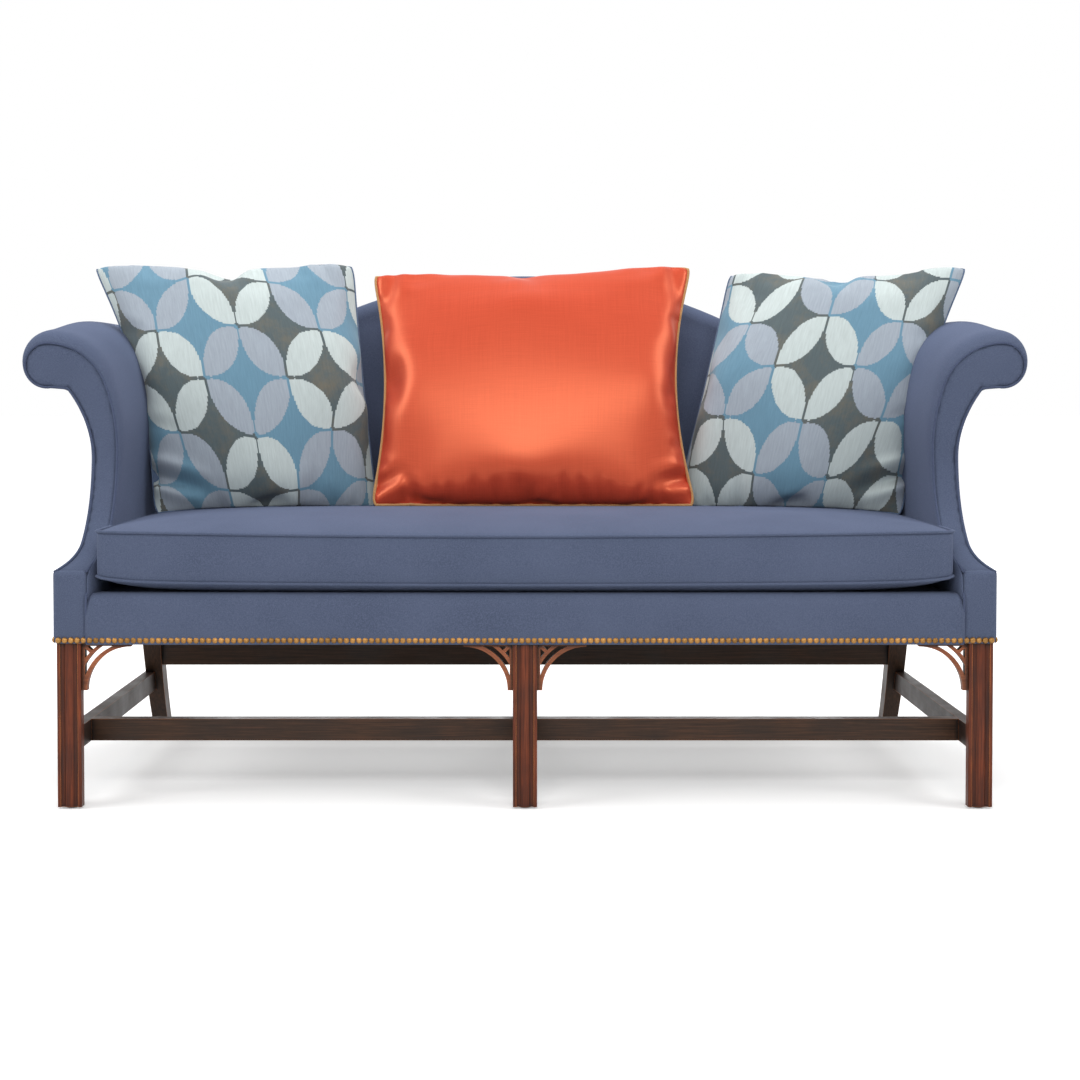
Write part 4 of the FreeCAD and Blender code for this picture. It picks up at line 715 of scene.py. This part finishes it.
def backOutline():
    outline = armOutline(lambda flareZ: [])
    peak = max(range(len(outline)), key=lambda k: outline[k][1])
    side = [(x, z + arm["rise"] * float(smoothStep(z, arm["coveTop"], arm["hollowZ"])))
            for x, z in outline[peak:]]
    side.append((arm["skirt"], border["bottom"]))
    crest = [(x, crestHeight(x)) for x in np.linspace(-arm["scrollX"], arm["scrollX"], 90)]
    return crest[1:-1] + side + [(-x, z) for x, z in reversed(side)]


def outsideBack():
    # cloth stretched over the back of the frame
    def spotAt(x, z, gap):
        puff = backCloth["puff"] * (1 - math.exp(-gap / backCloth["puffMm"]))
        puff += backCloth["waver"] * ripple((x / 1000, 0, z / 1000), backCloth["waverMm"], 4)
        return place(x, raked(back["post"] + backCloth["out"], z) + puff, z)

    grid = (np.arange(-backCloth["half"], backCloth["half"] + 1, backCloth["stepMm"]),
            np.arange(backCloth["low"], backCloth["high"], backCloth["stepMm"]))
    return filledPanel("outsideBack", backOutline(), grid, backCloth["clearMm"], spotAt, 1)


backPad = insideBack()
addModifier(backPad, "SOLIDIFY", thickness=0.003, offset=-1)
finishPiece(backPad, "frame", "blue_wool", "inside_back", fill=0.8)
backPanel = outsideBack()
finishPiece(backPanel, "frame", "blue_wool", "outside_back")
backPath = [place(x, raked(back["post"] + backCloth["pipeOut"], z), z) for x, z in backOutline()]
backPiping = tubePiece("backPiping", backPath, backCloth["pipeR"], shadedWoolSeam, loop=True)
finishPiece(backPiping, "frame", "blue_wool")
print("back made")

nail = {"radius": 0.0056, "height": 0.0047, "pitch": 0.0108, "up": 294, "halfRun": 804, "front": -4.0,
        "sideX": 812.6, "sideRun": (4, 560), "leastSize": (0.96, 0.96, 0.9), "mostSize": (1.02, 1.02, 1.06)}


def nailTree():
    tree = bpy.data.node_groups.new("nailRow", "GeometryNodeTree")
    face = tree.interface
    for label, kind in (("Start", "Vector"), ("End", "Vector"), ("Count", "Int"), ("Facing", "Vector"),
                        ("Radius", "Float"), ("Height", "Float"), ("Seed", "Int"), ("Brass", "Material")):
        face.new_socket(label, in_out="INPUT", socket_type="NodeSocket" + kind)
    face.new_socket("Geometry", in_out="OUTPUT", socket_type="NodeSocketGeometry")
    given = addNode(tree, "NodeGroupInput").outputs
    span = addNode(tree, "VectorMath", {0: given["End"], 1: given["Start"]}, operation="SUBTRACT")
    gaps = addNode(tree, "Math", {0: given["Count"], 1: 1.0}, operation="SUBTRACT")
    share = addNode(tree, "Math", {0: 1.0, 1: gaps}, operation="DIVIDE")
    step = addNode(tree, "VectorMath", {0: span, "Scale": share}, operation="SCALE")
    line = addNode(tree, "GeometryNodeMeshLine", {
        "Count": given["Count"], "Start Location": given["Start"], "Offset": step}, mode="OFFSET")
    ball = addNode(tree, "GeometryNodeMeshUVSphere", {"Segments": 14, "Rings": 10, "Radius": 1.0})
    spot = addNode(tree, "GeometryNodeInputPosition")
    tall = addNode(tree, "SeparateXYZ", {0: spot})
    low = addNode(tree, "FunctionNodeCompare", {"A": tall.outputs["Z"], "B": -0.15}, operation="LESS_THAN")
    dome = addNode(tree, "GeometryNodeDeleteGeometry", {"Geometry": ball, "Selection": low})
    size = addNode(tree, "CombineXYZ", {"X": given["Radius"], "Y": given["Radius"], "Z": given["Height"]})
    head = addNode(tree, "GeometryNodeTransform", {"Geometry": dome, "Scale": size})
    vary = addNode(tree, "FunctionNodeRandomValue", {
        "Min": nail["leastSize"], "Max": nail["mostSize"], "Seed": given["Seed"]}, data_type="FLOAT_VECTOR")
    turned = addNode(tree, "FunctionNodeEulerToRotation", {0: given["Facing"]})
    driven = addNode(tree, "GeometryNodeInstanceOnPoints", {
        "Points": line, "Instance": head, "Rotation": turned,
        "Scale": vary})
    real = addNode(tree, "GeometryNodeRealizeInstances", {"Geometry": driven})
    smooth = addNode(tree, "GeometryNodeSetShadeSmooth", {"Geometry": real})
    coloured = addNode(tree, "GeometryNodeSetMaterial", {"Geometry": smooth, "Material": given["Brass"]})
    addNode(tree, "NodeGroupOutput", {"Geometry": coloured})
    return tree


def nailRow(tree, label, start, end, facing, seed):
    carrier = bpy.data.objects.new(label, bpy.data.meshes.new(label))
    scene.collection.objects.link(carrier)
    modifier = carrier.modifiers.new("nails", "NODES")
    modifier.node_group = tree
    count = int(round((Vector(end) - Vector(start)).length / nail["pitch"])) + 1
    values = {"Start": start, "End": end, "Count": count, "Facing": facing, "Radius": nail["radius"],
              "Height": nail["height"], "Seed": seed, "Brass": antiqueBrass}
    for item in tree.interface.items_tree:
        if item.in_out == "INPUT":
            modifier[item.identifier] = values[item.name]
    ready = carrier.evaluated_get(bpy.context.evaluated_depsgraph_get())
    mesh = bpy.data.meshes.new_from_object(ready)
    bpy.data.objects.remove(carrier)
    return mesh


tree = nailTree()
frontEnds = [place(x, nail["front"], nail["up"]) for x in (-nail["halfRun"], nail["halfRun"])]
rows = [nailRow(tree, "frontNails", *frontEnds, (math.pi / 2, 0, 0), 1)]
for sign in (1, -1):
    sideEnds = [place(sign * nail["sideX"], depth, nail["up"]) for depth in nail["sideRun"]]
    rows.append(nailRow(tree, "sideNails", *sideEnds, (0, sign * math.pi / 2, 0), 2 + sign))
work = bmesh.new()
for mesh in rows:
    work.from_mesh(mesh)
nails = workPiece("brassNails", work, antiqueBrass)
finishPiece(nails, "frame", "antique_brass", "brass_nails")
print("nails driven:", len(nails.data.polygons), "faces")

under = {"half": 766, "front": 43, "depth": 566, "up": 287.6, "sag": 3, "middle": 304, "reach": 262}


def dustSpot(x, depth):
    sag = (1 - (x / under["half"]) ** 2) * (1 - ((depth - under["middle"]) / under["reach"]) ** 2)
    return place(x, depth, under["up"] - under["sag"] * sag)


dustRows = [[dustSpot(x, depth) for depth in np.linspace(under["front"], under["depth"], 24)]
            for x in np.linspace(-under["half"], under["half"], 50)]
dust = gridPiece("dustCover", dustRows, dustCloth, flip=True)
finishPiece(dust, "frame", "black_cotton", "dust_cover")

seat = {"half": 743, "front": 3, "depth": 530, "lowSeam": 394, "topSeam": 481, "crown": 22, "droop": 4,
        "bulge": 5, "floor": 372.6, "cornerR": 16, "sag": 9, "weltR": 2.7, "endLift": 9, "cuts": (124, 46, 8),
        "topSag": 0.9, "footSag": 0.6, "endPower": 6, "deepPower": 2.4}


def seatSag(a, b):
    # the front edge is sat down in the middle
    return seat["sag"] * (1 - a * a) * (0.5 - 0.5 * b)


def seatSpot(a, b, c):
    # a, b, c from -1 to 1 over the box of the cushion
    s = seat
    middle, halfDeep = s["front"] + s["depth"] / 2, s["depth"] / 2
    x, d = s["half"] * a, halfDeep * b
    r = s["cornerR"]
    coreX = min(max(x, r - s["half"]), s["half"] - r)
    coreD = min(max(d, r - halfDeep), halfDeep - r)
    out = Vector((x - coreX, d - coreD))
    if out.length > r:
        out = out.normalized() * r
    x, d = coreX + out.x, coreD + out.y
    z = s["lowSeam"] + (s["topSeam"] - s["lowSeam"]) * (c + 1) / 2
    z -= seatSag(a, b) * s["topSag" if c > 0 else "footSag"]
    flatA, flatB = 1 - abs(a) ** s["endPower"], 1 - abs(b) ** s["deepPower"]
    if c > 0.999:
        z += s["droop"] * flatB ** 0.5 * (1 - abs(a) ** 30)
        z += (s["crown"] - s["droop"] + seatSag(a, b)) * flatA * flatB
    z += s["endLift"] * (abs(a) ** 16) * (1 - c) / 2
    if c < -0.999:
        z -= (z - s["floor"]) * (min(flatA, 1) * min(flatB * 3.5, 1)) ** 0.6
    swell = s["bulge"] * (1 - c * c)
    if abs(b) > 0.999:
        d += swell * math.copysign(1, b) * (1 - abs(a) ** 20)
    return place(x, middle + d, z)


def seatCushion():
    wide, deep, tall = seat["cuts"]
    index, verts, faces = {}, [], []

    def corner(a, b, c):
        key = (a, b, c)
        if key not in index:
            index[key] = len(verts)
            verts.append(seatSpot(2 * a / wide - 1, 2 * b / deep - 1, 2 * c / tall - 1))
        return index[key]

    def quad(*keys):
        faces.append(tuple(corner(*key) for key in keys))

    for u in range(wide):
        for v in range(deep):
            quad((u, v, tall), (u + 1, v, tall), (u + 1, v + 1, tall), (u, v + 1, tall))
            quad((u, v, 0), (u, v + 1, 0), (u + 1, v + 1, 0), (u + 1, v, 0))
    for u in range(wide):
        for w in range(tall):
            quad((u, 0, w), (u + 1, 0, w), (u + 1, 0, w + 1), (u, 0, w + 1))
            quad((u, deep, w), (u, deep, w + 1), (u + 1, deep, w + 1), (u + 1, deep, w))
    for v in range(deep):
        for w in range(tall):
            quad((0, v, w), (0, v, w + 1), (0, v + 1, w + 1), (0, v + 1, w))
            quad((wide, v, w), (wide, v + 1, w), (wide, v + 1, w + 1), (wide, v, w + 1))
    return makePiece("seatCushion", verts, faces, woolCloth)


def seamLoop(c):
    wide, deep, _ = seat["cuts"]
    across, along = np.linspace(-1, 1, wide + 1), np.linspace(-1, 1, deep + 1)
    steps = [(a, -1) for a in across] + [(1, b) for b in along[1:]]
    steps += [(a, 1) for a in across[::-1][1:]] + [(-1, b) for b in along[::-1][1:-1]]
    return [seatSpot(a, b, c * 0.998) for a, b in steps]


cushion = seatCushion()
smoothOnce(cushion)
finishPiece(cushion, "seat_cushion", "blue_wool", "seat_cushion_casing", "seat_cushion_filling", fill=0.75)
work = bmesh.new()
for c in (-1, 1):
    tube = tubePiece("weltRun", seamLoop(c), seat["weltR"] / 1000, woolCloth, loop=True)
    work.from_mesh(tube.data)
    bpy.data.objects.remove(tube)
welts = workPiece("seatWelts", work, woolCloth)
finishPiece(welts, "seat_cushion", "blue_wool", "seat_cushion_welts")
print("seat cushion made")

# corners are foot left, foot right, top right, top left: mm across, behind the legs' face and up
pillows = {
    "left": {"corners": ((-722, 366, 0), (-296, 452, 0), (-352, 548, 985), (-866, 468, 976)),
             "front": 80, "back": 58, "size": (500, 500), "sideBow": (32, 4), "topBow": 20, "notch": 15},
    "right": {"corners": ((300, 452, 0), (736, 366, 0), (886, 462, 974), (420, 548, 968)),
              "front": 82, "back": 58, "size": (500, 500), "sideBow": (4, 26), "topBow": 27, "notch": 6},
    "silk": {"corners": ((-302, 398, 0), (336, 398, 0), (342, 556, 982), (-312, 556, 966)),
             "front": 74, "back": 60, "size": (640, 500), "sideBow": (26, 36), "topBow": 24, "notch": 0},
}
stuffing = {"steps": 80, "frames": 24, "pressure": 2.4, "mass": 0.14, "ticks": 0.3, "flatFill": 0.022,
            "crown": 0.08, "blunt": 0.03, "ease": 12, "tip": 9, "slump": 0.2, "thin": 0.35, "roll": 14,
            "rollAt": (0.76, 0.86, 0.94, 0.975, 1.0), "rollShare": (0, 0.4, 1, 0.9, 0),
            "seamBack": (0, 0.009, -0.006), "cordR": 0.0030, "seamR": 0.0016, "notchAt": 0.03,
            "notchWide": 0.16, "ridge": 0.45, "ridgeAt": 1.9, "gatherSpan": 0.86}
# folds run from a spot on the panel to another, both from -1 to 1, with their width and depth in mm
folds = {
    "left": [
        (-1.0, -0.68, -0.46, -0.86, 14, 34), (-1.0, -0.3, -0.62, -0.37, 12, 9), (-1.0, 0.5, -0.7, 0.38, 13, 8),
        (0.02, 1.0, 0.1, 0.74, 15, 11), (0.34, -1.0, 0.5, -0.72, 14, 9), (0.72, 0.98, 0.86, 0.72, 12, 6)],
    "right": [
        (1.0, -0.66, 0.5, -0.85, 14, 28), (1.0, -0.2, 0.66, -0.28, 12, 8), (1.0, 0.45, 0.7, 0.36, 13, 7),
        (-0.1, 1.0, -0.02, 0.78, 14, 8), (-0.4, -1.0, -0.5, -0.74, 14, 8), (-0.8, 0.98, -0.9, 0.74, 12, 6)],
    "silk": [
        (1.0, -0.76, 0.72, -0.86, 13, 13), (-1.0, -0.86, -0.76, -0.72, 13, 9),
        (-0.86, 1.0, -0.92, 0.66, 12, 7), (0.88, 1.0, 0.9, 0.62, 12, 7)],
}
# rows of short gathers beside a seam: side, how many, how far they run, width and depth in mm
gathers = {"left": [("foot", 5, 0.12, 10, 3)], "right": [("foot", 5, 0.12, 10, 3)],
           "silk": [("foot", 17, 0.17, 8, 7), ("right", 8, 0.14, 8, 6), ("left", 7, 0.1, 8, 5)]}


def seatTop(x, depth):
    a, b = x / seat["half"], (depth - seat["front"]) / seat["depth"] * 2 - 1
    return seatSpot(min(max(a, -0.99), 0.99), min(max(b, -0.99), 0.99), 1)[2] * 1000


def panelMesh(p):
    # two cloth panels sewn at their edges, lying flat; returns spots, faces, flat place of each spot and rim
    steps = stuffing["steps"]
    even = np.linspace(-1, 1, steps + 1)
    ticks = (1 - stuffing["ticks"]) * even + stuffing["ticks"] * np.sin(even * math.pi / 2)
    index, spots, faces, flat = {}, [], [], []

    def corner(u, v, side):
        rim = u in (0, steps) or v in (0, steps)
        key = (u, v, 0 if rim else side)
        if key not in index:
            index[key] = len(spots)
            a, b = ticks[u], ticks[v]
            plump = 0 if rim else side * ((1 - a * a) * (1 - b * b)) ** 0.42
            blunt = 1 - stuffing["blunt"] * abs(a * b) ** 9
            spots.append((a * blunt, b * blunt, plump))
            flat.append((a * p["size"][0] / 2, b * p["size"][1] / 2))
        return index[key]

    for u in range(steps):
        for v in range(steps):
            square = ((u, v), (u + 1, v), (u + 1, v + 1), (u, v + 1))
            faces.append(tuple(corner(*key, 1) for key in square))
            faces.append(tuple(corner(*key, -1) for key in square[:1] + square[:0:-1]))
    rim = [index[(u, 0, 0)] for u in range(steps)] + [index[(steps, v, 0)] for v in range(steps)]
    rim += [index[(u, steps, 0)] for u in range(steps, 0, -1)] + [index[(0, v, 0)] for v in range(steps, 0, -1)]
    return np.array(spots), faces, flat, rim


def runCloth(piece):
    # pressure swells the cloth like a filling until the crown is reached; returns the swollen coordinates
    cloth = piece.modifiers.new("filling", "CLOTH")
    fabric = cloth.settings
    fabric.quality, fabric.mass, fabric.air_damping = 6, stuffing["mass"], 2.0
    fabric.tension_stiffness = fabric.compression_stiffness = 18
    fabric.shear_stiffness, fabric.bending_stiffness = 8, 0.25
    fabric.use_pressure, fabric.uniform_pressure_force = True, stuffing["pressure"]
    fabric.effector_weights.gravity = 0
    cloth.point_cache.frame_start, cloth.point_cache.frame_end = 1, stuffing["frames"]
    for number in range(1, stuffing["frames"] + 1):
        scene.frame_set(number)
        ready = piece.evaluated_get(bpy.context.evaluated_depsgraph_get())
        spots = np.empty(len(ready.data.vertices) * 3)
        ready.data.vertices.foreach_get("co", spots)
        if np.abs(spots[2::3]).max() > stuffing["crown"]:
            break
    print(piece.name, "filled by frame", number)
    piece.modifiers.remove(cloth)
    scene.frame_set(1)
    return spots.reshape(-1, 3)


def swollen(p, spots, faces, rim):
    # blows the flat cover up, then scales it so that its corners and crown are 1
    scale = np.array((p["size"][0] / 2000, p["size"][1] / 2000, stuffing["flatFill"]))
    trial = makePiece("pillowTrial", spots * scale, faces)
    blown = runCloth(trial)
    bpy.data.objects.remove(trial)
    blown -= blown[rim].mean(0)
    steps = stuffing["steps"]
    corners = blown[[rim[0], rim[steps], rim[2 * steps], rim[3 * steps]]]
    reach = np.abs(corners).mean(0)
    crown = np.abs(blown[:, 2]).max()
    blown = blown / np.array((reach[0], reach[1], crown))
    return relaxed(blown, faces, rim)


def relaxed(spots, faces, rim):
    # evens out the small creases that the inflation leaves, with the seam eased along itself only
    links = np.array([(face[k], face[(k + 1) % 4]) for face in faces for k in range(4)])
    count = np.bincount(links.ravel(), minlength=len(spots))[:, None]
    for _ in range(stuffing["ease"]):
        total = np.zeros_like(spots)
        np.add.at(total, links[:, 0], spots[links[:, 1]])
        np.add.at(total, links[:, 1], spots[links[:, 0]])
        moved = (spots + total / count) / 2
        moved[rim] = spots[rim] / 2 + (spots[np.roll(rim, 1)] + spots[np.roll(rim, -1)]) / 4
        spots = moved
    return spots


def fitEdges(p, spots, rim):
    # lays the foot straight on the seat and draws the other seams in by the bows given
    steps, spots = stuffing["steps"], spots.copy()
    around = rim + rim[:1]
    runs = [around[k * steps:(k + 1) * steps + 1] for k in range(4)]
    halfX, halfZ = p["size"][0] / 2, p["size"][1] / 2
    for axis, lowRun, highRun in ((1, runs[0], runs[2][::-1]), (0, runs[3][::-1], runs[1])):
        along = spots[:, 1 - axis]
        low = np.interp(along, spots[lowRun, 1 - axis], spots[lowRun, axis])
        high = np.interp(along, spots[highRun, 1 - axis], spots[highRun, axis])
        arch = 1 - np.clip(along, -1, 1) ** 2
        tip = stuffing["tip"] * np.clip(np.abs(along), 0, 1) ** 22
        if axis:
            notch = p["notch"] * np.exp(-((along - stuffing["notchAt"]) / stuffing["notchWide"]) ** 2)
            wantLow, wantHigh = -np.ones(len(along)), 1 - (p["topBow"] * arch + notch + tip) / halfZ
        else:
            wantLow = -1 + (p["sideBow"][0] * arch + tip) / halfX
            wantHigh = 1 - (p["sideBow"][1] * arch + tip) / halfX
        share = np.clip((spots[:, axis] - low) / (high - low), 0, 1)
        spots[:, axis] += (wantLow - low) * (1 - share) ** 3 + (wantHigh - high) * share ** 3
    return spots


def foldLines(key):
    lines = list(folds[key])
    dice = np.random.default_rng(len(key) + 3)
    for side, count, reach, wide, deep in gathers[key]:
        for k in range(count):
            at = stuffing["gatherSpan"] * (2 * (k + dice.uniform(0.2, 0.8)) / count - 1)
            run, lean = reach * dice.uniform(0.6, 1.5), dice.uniform(-0.05, 0.05)
            share = dice.uniform(0.6, 1.2)
            start, end = {
                "foot": ((at, -1), (at + lean, run - 1)), "right": ((1, at), (1 - run, at + 2 * lean)),
                "left": ((-1, at), (run - 1, at + 2 * lean))}[side]
            lines.append((*start, *end, wide, deep * share))
    return lines


def foldDepth(key, spots, size):
    # hollow along each fold with a soft ridge on either side, dying out towards its end
    flat = spots[:, :2] * np.array(size) / 2
    dent = np.zeros(len(flat))
    for a0, b0, a1, b1, wide, deep in foldLines(key):
        start, end = np.array((a0, b0)) * np.array(size) / 2, np.array((a1, b1)) * np.array(size) / 2
        run = end - start
        share = np.clip(((flat - start) @ run) / (run @ run), 0, 1)
        gap = np.hypot(*(flat - start - share[:, None] * run).T)
        fade = deep * (1 - share) ** 0.8
        ridge = stuffing["ridge"] * np.exp(-((gap - stuffing["ridgeAt"] * wide) / wide) ** 2)
        dent += fade * (ridge - np.exp(-(gap / wide) ** 2))
    return dent * (spots[:, 2] > 0.02)


def scatterPillow(name, key, *materials):
    p = pillows[key]
    spots, faces, flat, rim = panelMesh(p)
    spots = swollen(p, spots, faces, rim)
    spots = fitEdges(p, spots, rim)
    thinner = np.where(spots[:, 1] < 0, stuffing["slump"], stuffing["thin"])
    spots[:, 2] *= 1 - thinner * np.clip(spots[:, 1], -1, 1) ** 2
    corners = [Vector(c) for c in p["corners"]]
    for c in corners[:2]:
        c.z = seatTop(c.x, c.y) + 2
    low, high = (corners[0] + corners[1]) / 2, (corners[2] + corners[3]) / 2
    out = (corners[1] - corners[0] + corners[2] - corners[3]).cross(high - low).normalized()
    verts = []
    dents = foldDepth(key, spots, p["size"])
    for (a, b, w), dent in zip(spots, dents):
        s, t = (a + 1) / 2, (b + 1) / 2
        spot = (corners[0] * (1 - s) * (1 - t) + corners[1] * s * (1 - t)
                + corners[2] * s * t + corners[3] * (1 - s) * t)
        spot += out * (w * (p["front"] if w > 0 else p["back"]) + dent)
        if w > 0:
            # the filling rolls the front panel up over the top seam
            rolled = float(np.interp(b, stuffing["rollAt"], stuffing["rollShare"]))
            spot.z += stuffing["roll"] * rolled * (1 - a ** 6)
        spot.z = max(spot.z, seatTop(spot.x, spot.y) + 0.8)
        verts.append(place(*spot))
    piece = makePiece(name, verts, faces, *materials)
    piece.data.polygons.foreach_set("material_index", [0, len(materials) - 1] * (len(faces) // 2))
    layer = piece.data.uv_layers.new(name="weave")
    for loop in piece.data.loops:
        layer.data[loop.index].uv = flat[loop.vertex_index]
    return piece, rim


for key, label, materials, body, node, slotName in (
        ("left", "patternedPillowLeft", (petalLeft, slateBack), "left_pillow", "left_pillow", "petal_weave"),
        ("right", "patternedPillowRight", (petalRight, slateBack), "right_pillow", "right_pillow",
         "petal_weave"),
        ("silk", "silkPillow", (orangeSilk,), "centre_pillow", "silk_pillow", "orange_silk")):
    piece, rim = scatterPillow(label, key, *materials)
    edge = [piece.data.vertices[k].co.copy() for k in rim]
    # along the top the seam lies on the back of the roll
    for k, a in enumerate(np.linspace(1, -1, stuffing["steps"] + 1)[:-1], 2 * stuffing["steps"]):
        edge[k] += Vector(stuffing["seamBack"]) * (1 - a ** 6)
    smoothOnce(piece)
    finishPiece(piece, body, slotName, node, fill=0.7)
    if key == "silk":
        cord = tubePiece("silkPiping", edge, stuffing["cordR"], tanCord, loop=True)
        finishPiece(cord, body, "tan_piping", "silk_pillow_piping")
    else:
        cord = tubePiece(f"{label}Seam", edge, stuffing["seamR"], slateBack, loop=True, sides=8)
        finishPiece(cord, body, "petal_weave")
print("scatter cushions made")

studio = {"cameraBack": 2.8, "cameraZ": 0.711, "pitch": 1.5, "lens": 54.27, "shiftX": 0.0139, "shiftY": -0.0917,
          "ambient": 0.36, "shadowRadius": 0.9, "whiteRadius": 3.2, "nearLift": 0.33, "farLift": 0.78,
          "floor": 60}


def makeFloor():
    # white paper sweep: it keeps the soft shadow near the sofa and reads as white beyond it; its glow, seen
    # only by the camera and in reflections, is weaker near the sofa, which adds painted shade around the shadow
    material, tree, shader = newMaterial("whitePaperFloor", {
        "Base Color": linear("#f4f4f4"), "Roughness": 0.9, "Specular IOR Level": 0.1})
    seen = addNode(tree, "LightPath").outputs
    where = addNode(tree, "TexCoord").outputs["Object"]
    away = addNode(tree, "VectorMath", {0: where}, operation="LENGTH")
    # weaker glow near the sofa: painted shade on the floor around it
    lift = addNode(tree, "MapRange", {
        "Value": away, "From Min": studio["shadowRadius"], "From Max": studio["whiteRadius"],
        "To Min": studio["nearLift"], "To Max": studio["farLift"]}, interpolation_type="SMOOTHSTEP")
    showing = addNode(tree, "Math", {0: seen["Is Camera Ray"], 1: seen["Is Glossy Ray"]}, operation="MAXIMUM")
    strength = addNode(tree, "Math", {0: showing, 1: lift}, operation="MULTIPLY")
    glow = addNode(tree, "Emission", {"Color": (1, 1, 1, 1), "Strength": strength})
    both = addNode(tree, "AddShader", {0: shader, 1: glow})
    tree.links.new(both.outputs[0], tree.nodes["Material Output"].inputs["Surface"])
    far = studio["floor"]
    floor = makePiece("studioFloor", [(-far, -far, 0), (far, -far, 0), (far, far, 0), (-far, far, 0)],
                      [(0, 1, 2, 3)], material)


def makeWorld():
    # plain even light on the sofa, and a white background where it is seen or mirrored
    world = bpy.data.worlds.new("softStudio")
    scene.world = world
    world.use_nodes = True
    tree = world.node_tree
    seen = addNode(tree, "LightPath").outputs
    mirrored = addNode(tree, "Math", {
        0: seen["Is Glossy Ray"], 1: seen["Is Transmission Ray"]}, operation="MAXIMUM")
    plain = addNode(tree, "Math", {0: seen["Is Camera Ray"], 1: mirrored}, operation="MAXIMUM")
    white = addNode(tree, "MapRange", {"Value": plain, "To Min": studio["ambient"], "To Max": 1.0})
    sky = tree.nodes["Background"]
    sky.inputs["Color"].default_value = (1, 1, 1, 1)
    tree.links.new(white.outputs["Result"], sky.inputs["Strength"])


# where each lamp stands and what it is aimed at in m, its width and height, its watts and if it is mirrored
lamps = (("keySoftbox", (0, -3.7, 2.55), (0, 0, 0.6), 2.6, 1.3, 71, True),
         ("leftSoftbox", (-2.8, -1.2, 2.6), (0, -0.1, 0.5), 1.6, 1.6, 44, True),
         ("rightSoftbox", (2.8, -1.2, 2.6), (0, -0.1, 0.5), 1.6, 1.6, 39, True),
         ("topSoftbox", (0, 0.5, 3.3), (0, -0.1, 0.4), 2.4, 1.7, 70, False),
         ("backSoftbox", (0, 3.8, 0.9), (0, 0, 0.6), 2.8, 0.7, 44, True))


def areaLight(label, spot, aim, wide, tall, power, mirrored):
    data = bpy.data.lights.new(label, "AREA")
    data.shape, data.size, data.size_y, data.energy = "RECTANGLE", wide, tall, power
    lamp = bpy.data.objects.new(label, data)
    lamp.location = spot
    lamp.visible_glossy = mirrored
    lamp.rotation_euler = (Vector(aim) - Vector(spot)).to_track_quat("-Z", "Y").to_euler()
    scene.collection.objects.link(lamp)


makeFloor()
makeWorld()
for lamp in lamps:
    areaLight(*lamp)
scene.view_settings.view_transform = "Standard"

lens = bpy.data.cameras.new("studioCamera")
lens.lens, lens.sensor_width = studio["lens"], 36
lens.shift_x, lens.shift_y = studio["shiftX"], studio["shiftY"]
camera = bpy.data.objects.new("studioCamera", lens)
camera.location = (0, frontY - studio["cameraBack"], studio["cameraZ"])
camera.rotation_euler = (math.radians(90 - studio["pitch"]), 0, 0)
scene.collection.objects.link(camera)
scene.camera = camera

print("scene ready")
